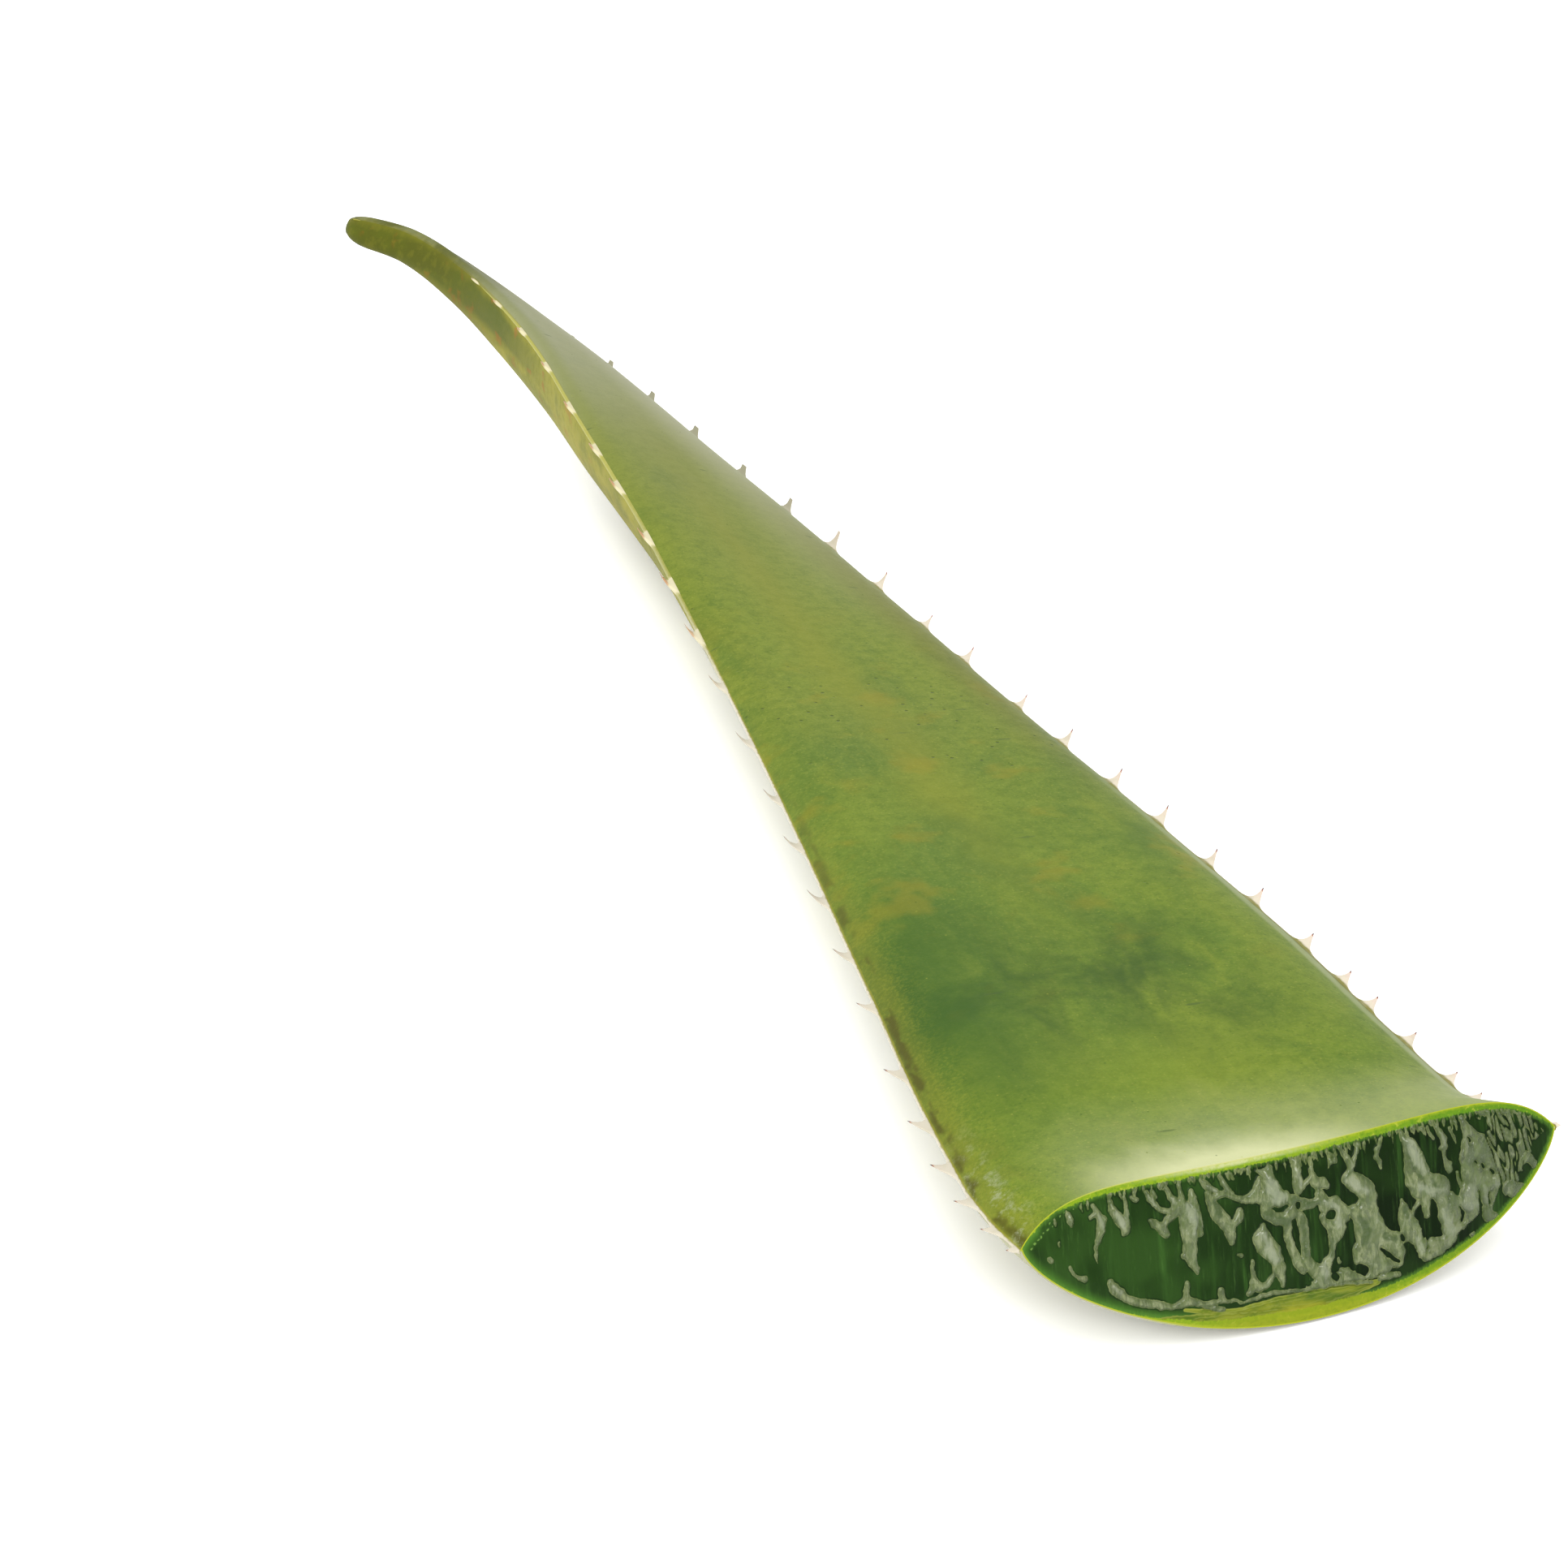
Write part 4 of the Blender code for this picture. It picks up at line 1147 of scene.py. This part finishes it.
# %% Height of the face
# Width of the rind in mm along the upper and the lower edge, from the left corner on.
rim_width = np.interp(face[:, 0], (-46, -42, -35, -25, -15, 10, 20, 35, 41, 46),
                      (0.1, 0.15, 0.7, 0.95, 1.15, 1.15, 1.0, 1.0, 0.7, 0.3))
low_width = np.interp(face[:, 0], (-46, -36, -28, -18, -5, 6, 15, 25, 33, 42, 46),
                      (0.08, 0.1, 0.3, 1.0, 1.9, 1.9, 1.3, 1.1, 0.75, 0.45, 0.2))
rim = np.maximum(rim_width - from_top_edge, low_width - from_low_edge)
folds = wobble(lean_way, 0.45, 12.0)
streaks = wobble(np.column_stack((face[:, 0], face[:, 1] * 0.12)), 0.8, 4.0)
height = 0.20 * ramp(-rim, 0.0, 3.0) + 0.05 * streaks * ramp(-rim, 0.0, 1.0)
height += ramp(film, -0.05, 0.35) * 0.26 + ramp(film, 0.3, 1.3) * 0.1
height += ramp(film, 0.1, 0.5) * (0.07 * folds + 0.06 * wobble(face, 0.9, 7.0))
height += ramp(pool, 0.0, 0.7) * 0.2 + ramp(silver, -0.2, 0.6) * 0.12
height += ramp(beads, -0.05, 0.1) * 0.08
height = height * ramp(np.minimum(from_top_edge, from_low_edge), 0.0, 0.9) + 0.02
# Kept only to paint highlight and shade on the films' sides.
slope = np.clip(slope_of(height), -1.5, 1.5)
right0, up0, _ = directions(0.0)
outward = np.cross(right0, up0)
placed = middle(0.0) + np.outer(face[:, 0], right0) + np.outer(face[:, 1], up0)
placed = placed + np.outer(height, outward)
set_points(flesh.data, placed * MM)
keep(flesh.data, film=film, slope=slope, silver=silver, olive=olive, beads=beads, pool=pool,
     rim=rim, across=face[:, 0], from_low_edge=from_low_edge,
     place=share_u * 2.0 + np.where(down < 0.5, UPPER_SIDE, LOWER_SIDE))
print("film stands", round(float(height.max()), 2), "mm proud at most")


# %% Extrude the flesh back into the leaf
GAP = 0.15                      # between the flesh and the wall of the pocket
FLESH_RINGS = (1.0, 6.0, 40.0, 100.0, 180.0, 260.0, 330.0, 380.0, 410.0, 439.0)


def flesh_ring(y):
    """Places on a ring of the flesh, from the kept place of its points."""
    def place_of(kept):
        upper_side = kept > 0.0
        u = np.clip((kept - np.where(upper_side, UPPER_SIDE, LOWER_SIDE)) / 2.0, -1.0, 1.0)
        return pocket(y, GAP, u, upper_side)
    return place_of


merge_and_open(flesh, 2e-6)
for y in FLESH_RINGS:
    draw_on(flesh, flesh_ring(y))
close_and_turn()
print("flesh:", len(flesh.data.polygons), "faces")

# %% [markdown]
# ### The colours of the cut
# From the edge inwards: a thin yellow line, the lime rind with a painted highlight on its
# upper left part, a fringe where the veins end, then the dark jelly with faint upright
# streaks. The films are grey-green, with a painted highlight along the inside of the edge
# and a dark outer line, painted light and shade on their slopes, and painted silvery
# reflections. The pool along the bottom is a clear yellow-green.

# %% Jelly
cut = Board("cut_flesh")
film_mm, pool_mm, rim_mm = cut.kept("film"), cut.kept("pool"), cut.kept("rim")
silver_mm, olive_mm = cut.kept("silver"), cut.kept("olive")
across_mm, low_mm = cut.kept("across"), cut.kept("from_low_edge")
upright = cut.stretched(1.0, 0.1, 0.12)
veil = cut.noise(2.2, 3.0, 0.6, upright, 0.3)
fine_veil = cut.noise(0.6, 3.0, 0.65, upright)
cloud = cut.noise(11.0, 2.0)
fine = cut.noise(0.35, 3.0, 0.7)
crease = cut.noise(1.1, 4.0, 0.65, cut.stretched(1.0, 0.5, 0.35), 1.0)
soft = cut.noise(3.0, 2.0)

to_right = cut.step(across_mm, -22.0, 16.0)
shallow = cut.mix(to_right, tint(28, 54, 14), tint(14, 32, 6))
deep = cut.mix(to_right, tint(46, 78, 26), tint(28, 52, 14))
jelly = cut.mix(cut.step(cloud, 0.36, 0.64), shallow, deep)
jelly = cut.coats(
    jelly,
    (cut.step(veil, 0.5, 0.78) * 0.5, 66, 108, 42),
    (cut.step(fine_veil, 0.56, 0.8) * 0.25, 96, 138, 66))
print("jelly:", len(cut.tree.nodes), "nodes")

# %% Rind and fringe
comb = cut.noise(0.34, 2.0, 0.6, cut.stretched(1.0, 1.0, 0.35))
edge_mm = rim_mm + (comb - 0.5) * 0.8 + (soft - 0.5) * 0.7
lime = cut.mix(cut.step(across_mm, 0.0, 34.0), tint(144, 176, 32), tint(104, 150, 28))
marble = cut.noise(0.9, 3.0, 0.65, None, 0.6)
low_lime = cut.step(low_mm, 5.0, 3.0)
# Painted highlight on the upper rind, left of the middle of the cut.
rim_highlight = cut.band(across_mm, -20.0, 0.0, 12.0) * cut.step(rim_mm, 0.25, 0.8) * (1.0 - low_lime)
soft_green = cut.step(rim_mm, -1.8, 0.3) * low_lime * cut.step(across_mm, 20.0, -10.0)
lime = cut.coats(
    lime,
    (cut.step(fine, 0.45, 0.7) * 0.35, 104, 146, 38),
    (cut.step(rim_mm, 0.5, 1.1) * 0.5, 186, 200, 44),
    (cut.step(marble, 0.5, 0.66) * 0.5, 84, 136, 28),
    (cut.step(marble, 0.44, 0.3) * 0.5, 208, 210, 76),
    (rim_highlight * (0.35 + cut.step(marble, 0.4, 0.6) * 0.4), 232, 232, 176),
    (cut.band(across_mm, -16.0, 14.0, 8.0) * low_lime * 0.6, 150, 158, 34),
    (cut.step(across_mm, 10.0, 30.0) * low_lime * 0.5, 122, 150, 30))
fringe = cut.step(edge_mm, -0.75, 0.0) * 0.6
jelly = cut.coats(
    jelly,
    (soft_green * 0.8, 84, 136, 46),
    (fringe, 92, 138, 50),
    (cut.step(cut.kept("beads"), -0.08, 0.05) * 0.7, 128, 170, 76))
print("rind and fringe:", len(cut.tree.nodes), "nodes so far")

# %% Films and pool
right_end = cut.step(across_mm, 20.0, 30.0)
slime = cut.mix(cut.step(crease, 0.4, 0.6), tint(92, 108, 54), tint(134, 144, 96))
flakes = cut.noise(2.4, 3.0, 0.55, cut.stretched(1.0, 0.6, 0.5), 1.6)
# Painted silvery reflection on the films, broken up by the creases.
shine = cut.step(silver_mm + (crease - 0.5) * 2.0, -0.35, 0.45)
slope = cut.kept("slope")
# Painted highlight along the inside of a film's edge.
edge_highlight = cut.band(film_mm, 0.03, 0.12, 0.05) * cut.step(crease, 0.38, 0.56)
flow = cut.noise(1.8, 3.0, 0.55, cut.stretched(0.3, 1.0, 1.0), 0.8)
water = cut.mix(cut.step(flow, 0.34, 0.66), tint(86, 114, 32), tint(138, 148, 44))
tide = pool_mm + (flow - 0.5) * 1.2
slime = cut.coats(
    slime,
    (cut.step(crease, 0.42, 0.58) * right_end * 0.9, 54, 70, 38),
    (cut.step(soft, 0.55, 0.35) * 0.45, 84, 106, 48),
    (cut.step(flakes, 0.5, 0.6) * 0.6, 62, 80, 34),
    (cut.step(flakes, 0.44, 0.36) * 0.35, 152, 160, 122),
    (cut.step(film_mm, 0.3, 1.2) * 0.2, 132, 142, 112),
    (cut.step(olive_mm + (soft - 0.5) * 0.6, -0.25, 0.3) * 0.8, 62, 84, 32),
    (shine * (0.5 - right_end * 0.2), 164, 172, 144),
    # Painted glints: small near-white specks where fine noise and creases peak.
    (cut.step(fine + crease, 1.12, 1.34) * 0.25, 190, 198, 170),
    # Painted highlight where a film faces the upper left, painted shade where it faces away.
    (cut.step(slope, 0.05, 0.8) * 0.35, 180, 186, 144),
    (cut.step(slope, -0.05, -0.7) * 0.6, 50, 68, 24),
    (cut.step(film_mm, 0.5, 0.1) * 0.45, 64, 84, 36),
    (edge_highlight * 0.4, 158, 168, 108))
yellow_glow = cut.band(across_mm, -5.0, 3.0, 3.0) * cut.step(low_mm, 3.4, 1.4)
water = cut.coats(
    water,
    (cut.band(tide, 0.5, 0.6, 0.12) * 0.35, 172, 178, 100),
    (cut.band(tide, 0.68, 0.78, 0.1) * 0.45, 68, 84, 24),
    (cut.band(tide, 1.1, 1.2, 0.12) * 0.3, 168, 172, 90),
    (cut.band(pool_mm, 0.0, 0.2, 0.12) * 0.5, 168, 174, 86),
    (yellow_glow * 0.5, 186, 180, 44))

cut_colour = cut.mix(cut.step(pool_mm, -0.05, 0.1), jelly, water)
dark_line = cut.band(film_mm, -0.2, -0.03, 0.07) * cut.step(soft, 0.36, 0.56)
cut_colour = cut.coats(cut_colour, (dark_line * 0.6, 18, 32, 14))
cut_colour = cut.mix(cut.step(film_mm, -0.03, 0.05), cut_colour, slime)
is_rind = cut.step(edge_mm, -0.1, 0.12)
cut_colour = cut.mix(is_rind, cut_colour, lime)
flank_edge = cut.step(low_mm, 0.26, 0.16) * cut.step(across_mm, -12.0, -26.0)
cut_colour = cut.coats(cut_colour, (flank_edge, 184, 192, 56))
print("cut face colours:", len(cut.tree.nodes), "nodes")

# %% Surface of the cut
on_film = cut.step(film_mm, 0.0, 0.3)
cut_relief = cut.bump(crease * on_film, 0.00022, 0.5)
cut_relief = cut.bump(fine * on_film, 0.00006, 0.3, cut_relief)
flesh_paint = cut.finish(
    Base_Color=cut_colour, Roughness=0.18 + is_rind * 0.25, Normal=cut_relief,
    Specular_IOR_Level=0.05, Coat_Weight=on_film * 0.5, Coat_Roughness=0.08)
dress(flesh, flesh_paint, 60.0)
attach(flesh, "root")
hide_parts("gel")

# %% [markdown]
# ## The toothed margins
# A thin strip of tough pale tissue edges the leaf, and its teeth are part of it: each
# climbs slowly on the side of the cut, hooks towards the tip and drops back in a short
# hollow. Modelling every tooth apart would leave a seam at each foot. So one long
# flat tube is wrapped along the margin, and its outer edge follows the outline of
# tooth after tooth.

# %% Outline of a tooth
# Distance ahead of the tooth's place and reach beyond the bays, in mm, from the foot on
# the side of the cut, over the point, to the foot on the side of the tip.
TOOTH_OUTLINE = (
    (-5.6, 0.0), (-4.4, 0.10), (-3.4, 0.28), (-2.6, 0.52), (-1.9, 0.82), (-1.2, 1.18),
    (-0.55, 1.6), (0.05, 2.02), (0.6, 2.42), (1.05, 2.76), (1.42, 3.04), (1.75, 3.28),
    (1.98, 3.4), (1.98, 3.22), (1.84, 2.86), (1.62, 2.42), (1.42, 1.98), (1.3, 1.54),
    (1.3, 1.12), (1.45, 0.76), (1.78, 0.46), (2.35, 0.22), (3.2, 0.07), (4.2, 0.0))
# Shares of the way from the strip's root to its outer edge where it has points.
STRIP_SHARES = (0.0, 0.22, 0.42, 0.6, 0.76, 0.89, 0.97, 1.0)
INSIDE = 0.9                    # how deep the strip's root sits in the skin, in mm
FOOT, HEEL = 5.6, 4.2           # where the outline starts and ends before and behind a tooth
FULL_TOOTH, BLUNT_BY = 3.4, 1.5         # reach of a whole point, and what far teeth lack of it
BLUNT_FROM, BLUNT_OVER = 260.0, 90.0    # where teeth begin to blunt, and over what length
FAR_TEETH, FAR_FOOT = 220.0, 1.35       # from here on feet are this many times as long
BAY_STEP = 1.6                  # spacing of the outline's points between teeth
TOOTH_CLIMB = 0.19              # how much a tooth hooks upwards
THIN_AT = 3.7                   # reach at which a tooth has thinned to nothing
STRIP_LOW = 0.2                 # the strip's middle lies this far below the edge of the skin
STRIP_FADE, STRIP_LEAST = 90.0, 0.25    # it thins over this length at the tip, to this share
STAND_END, STAND_FADE = 450.0, 60.0     # by here it stands out no more, fading over this


def foot_of(place, size, slim):
    """How long a tooth's foot is on the side of the cut; far teeth have long low feet."""
    return FOOT * size * (slim if place < FAR_TEETH else FAR_FOOT)


def strip_outline(teeth, size_at, seed, slim):
    """Rows of root place, outer place, reach over the bays, size and chance of a margin."""
    chance = random.Random(seed)
    found = [(0.05, 0.05, 0.0, 0.5, 0.5)]
    for number, place in enumerate(teeth):
        size = size_at(place) * chance.uniform(0.92, 1.08)
        blunt = FULL_TOOTH - BLUNT_BY * min(max((place - BLUNT_FROM) / BLUNT_OVER, 0.0), 1.0)
        luck = chance.random()
        after = teeth[number + 1] if number + 1 < len(teeth) else LENGTH
        start = max(found[-1][0] + 0.05, place - foot_of(place, size, slim))
        end = min(place + HEEL * size, place + 0.45 * (after - place))
        for k, (ahead, reach) in enumerate(TOOTH_OUTLINE):
            room = (place - start) / FOOT if ahead < 0 else size
            if ahead > 2.0:
                room = (end - place) / HEEL
            share = k / (len(TOOTH_OUTLINE) - 1)
            found.append((start + (end - start) * share, place + ahead * room,
                          min(reach, blunt) * size, size, luck))
        gap = max(after - foot_of(after, size_at(after), slim), end) - end
        steps = int(gap / BAY_STEP)
        for k in range(1, steps + 1):
            y = end + gap * k / (steps + 1)
            found.append((y, y, 0.0, size, luck))
    found.append((LENGTH - 2.0, LENGTH - 2.0, 0.0, 0.5, 0.5))
    return found


def toothed_strip(name, teeth, size_at, rise_at, hand, bay, slim, thickness):
    """The tube along a margin; bay is how far it stands out between the teeth, in mm."""
    outline = strip_outline(teeth, size_at, 5 + hand, slim)
    shares = STRIP_SHARES + STRIP_SHARES[-2::-1] + STRIP_SHARES[:1]
    strip, column, line = flat_grid(name, len(shares) - 1, len(outline) - 1)
    placed = np.empty((len(column), 3))
    names = ("reach", "away", "luck", "distance", "tooth")
    marks = {mark: np.empty(len(column)) for mark in names}
    for number, (root_y, outer_y, reach, size, luck) in enumerate(outline):
        fade = min(max((LENGTH - root_y) / STRIP_FADE, STRIP_LEAST), 1.0)
        stand = bay * min(max((STAND_END - root_y) / STAND_FADE, -1.5), 1.0)
        deep = min(INSIDE, 0.2 + 0.5 * root_y)
        edge = stand + reach
        for point in np.flatnonzero(line == number):
            spot = column[point]
            t = shares[spot]
            away = -deep + (edge + deep) * t
            y = max(root_y + (outer_y - root_y) * t ** 1.3, 0.05)
            right, up, _ = directions(y)
            tall = max(away - bay, 0.0)
            thick = thickness(y) * fade * max(1.0 - tall / (THIN_AT * size), 0.05) ** 0.8
            thick *= math.sqrt(1.0 - t ** 4) * (1.0 if spot < len(STRIP_SHARES) else -1.0)
            if spot == len(shares) - 1:
                thick = abs(thick)
            tall /= size
            rise = thick - STRIP_LOW + TOOTH_CLIMB * tall ** 2 * rise_at(y) * size
            margin = middle(y) + right * (hand * (half_at(y) + away))
            placed[point] = margin + up * rise
            for mark, value in zip(marks, (tall, away, luck, y, reach / size)):
                marks[mark][point] = value
    set_points(strip.data, placed * MM)
    keep(strip.data, **marks)
    merge_and_open(strip, 1e-6)
    close_and_turn()
    return strip


# Distance, half thickness of the strip on the right and on the left.
STRIP_THICKNESS = ((0, 0.5, 0.3), (150, 0.5, 0.32), (260, 0.4, 0.5), (508, 0.3, 0.5))
right_thickness_at, left_thickness_at = (curve(STRIP_THICKNESS, column) for column in (1, 2))
teeth_right = toothed_strip("teeth_right", TEETH_RIGHT, right_size_at, right_rise_at, 1, 0.3, 1.0,
                            right_thickness_at)
teeth_left = toothed_strip("teeth_left", TEETH_LEFT, left_size_at, tooth_rise_at, -1, 0.25, 0.75,
                           left_thickness_at)
print("strips:", len(teeth_right.data.polygons) + len(teeth_left.data.polygons), "faces")

# %% [markdown]
# The foot of a tooth is yellow-green like the margin, its body is cream with a flush of
# pink, and the point is hard and dark. How far a point of the strip reaches out
# decides between them.

# %% Horn of the margins
def horn_paint(name, root, cream, flush, root_from, root_to, far_horn):
    """Pale horn with a coloured root and dark points; far_horn is its colour far away."""
    horn = Board(name)
    reach, away, luck = horn.kept("reach"), horn.kept("away"), horn.kept("luck")
    distance, tooth = horn.kept("distance"), horn.kept("tooth")
    blur = (horn.noise(1.1, 2.0) - 0.5) * 0.5
    cloud = horn.noise(3.0, 2.0)
    body = horn.mix(horn.step(away + blur, root_from, root_to), root, cream)
    body = horn.mix(horn.step(reach + blur, 0.9, 2.3) * (luck * 0.6 + 0.2), body, flush)
    between_teeth = horn.step(distance, 200.0, 270.0) * horn.step(tooth + blur, 0.5, 0.1)
    body = horn.coats(
        body,
        (horn.step(cloud, 0.5, 0.7) * 0.3, 196, 190, 158),
        (between_teeth * 0.8, 160, 160, 44))
    body = horn.mix(horn.step(distance, 280.0, 340.0) * 0.85, body, far_horn)
    point = horn.step(reach, 2.65, 3.0) * horn.step(distance, 330.0, 270.0)
    black = horn.step(reach, 2.95, 3.15) * horn.step(distance, 250.0, 150.0)
    body = horn.coats(
        body,
        (point, 176, 104, 78),
        (black * 0.9, 50, 28, 24))
    return horn, body, cloud


def finish_horn(horn, body, cloud):
    return horn.finish(Base_Color=body, Roughness=0.42 + cloud * 0.1, Specular_IOR_Level=0.25,
                       Normal=horn.bump(horn.noise(0.4, 2.0), 0.00004, 0.4))


right_horn = horn_paint("horn_right", tint(140, 136, 36), tint(246, 234, 208),
                        tint(248, 222, 206), 0.2, 0.75, tint(160, 160, 126))
horn, body, cloud = horn_paint("horn_left", tint(150, 146, 50), tint(224, 216, 194),
                               tint(224, 210, 192), -0.15, 0.15, tint(182, 178, 62))
far_left = horn.step(horn.kept("distance"), 200.0, 260.0)
streak_edge = horn.kept("tooth") + (cloud - 0.5) * 0.25
streak_share = far_left * horn.step(streak_edge, 0.0, 0.3)
rusty = far_left * horn.step(horn.kept("reach"), 0.9, 1.6)
body = horn.coats(
    body,
    (streak_share * 0.9, 242, 232, 188),
    (rusty * 0.75, 184, 112, 46))
paints = (finish_horn(*right_horn), finish_horn(horn, body, cloud))
for strip, finish in zip((teeth_right, teeth_left), paints):
    dress(strip, finish, 50.0)
    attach(strip, "root")

# %% [markdown]
# ## Last step
# Nothing is left selected. The finished leaf may differ from its solids by a few
# millimetres at most, since the looks never change the size.

# %% Clear the selection
bpy.ops.object.select_all(action="DESELECT")
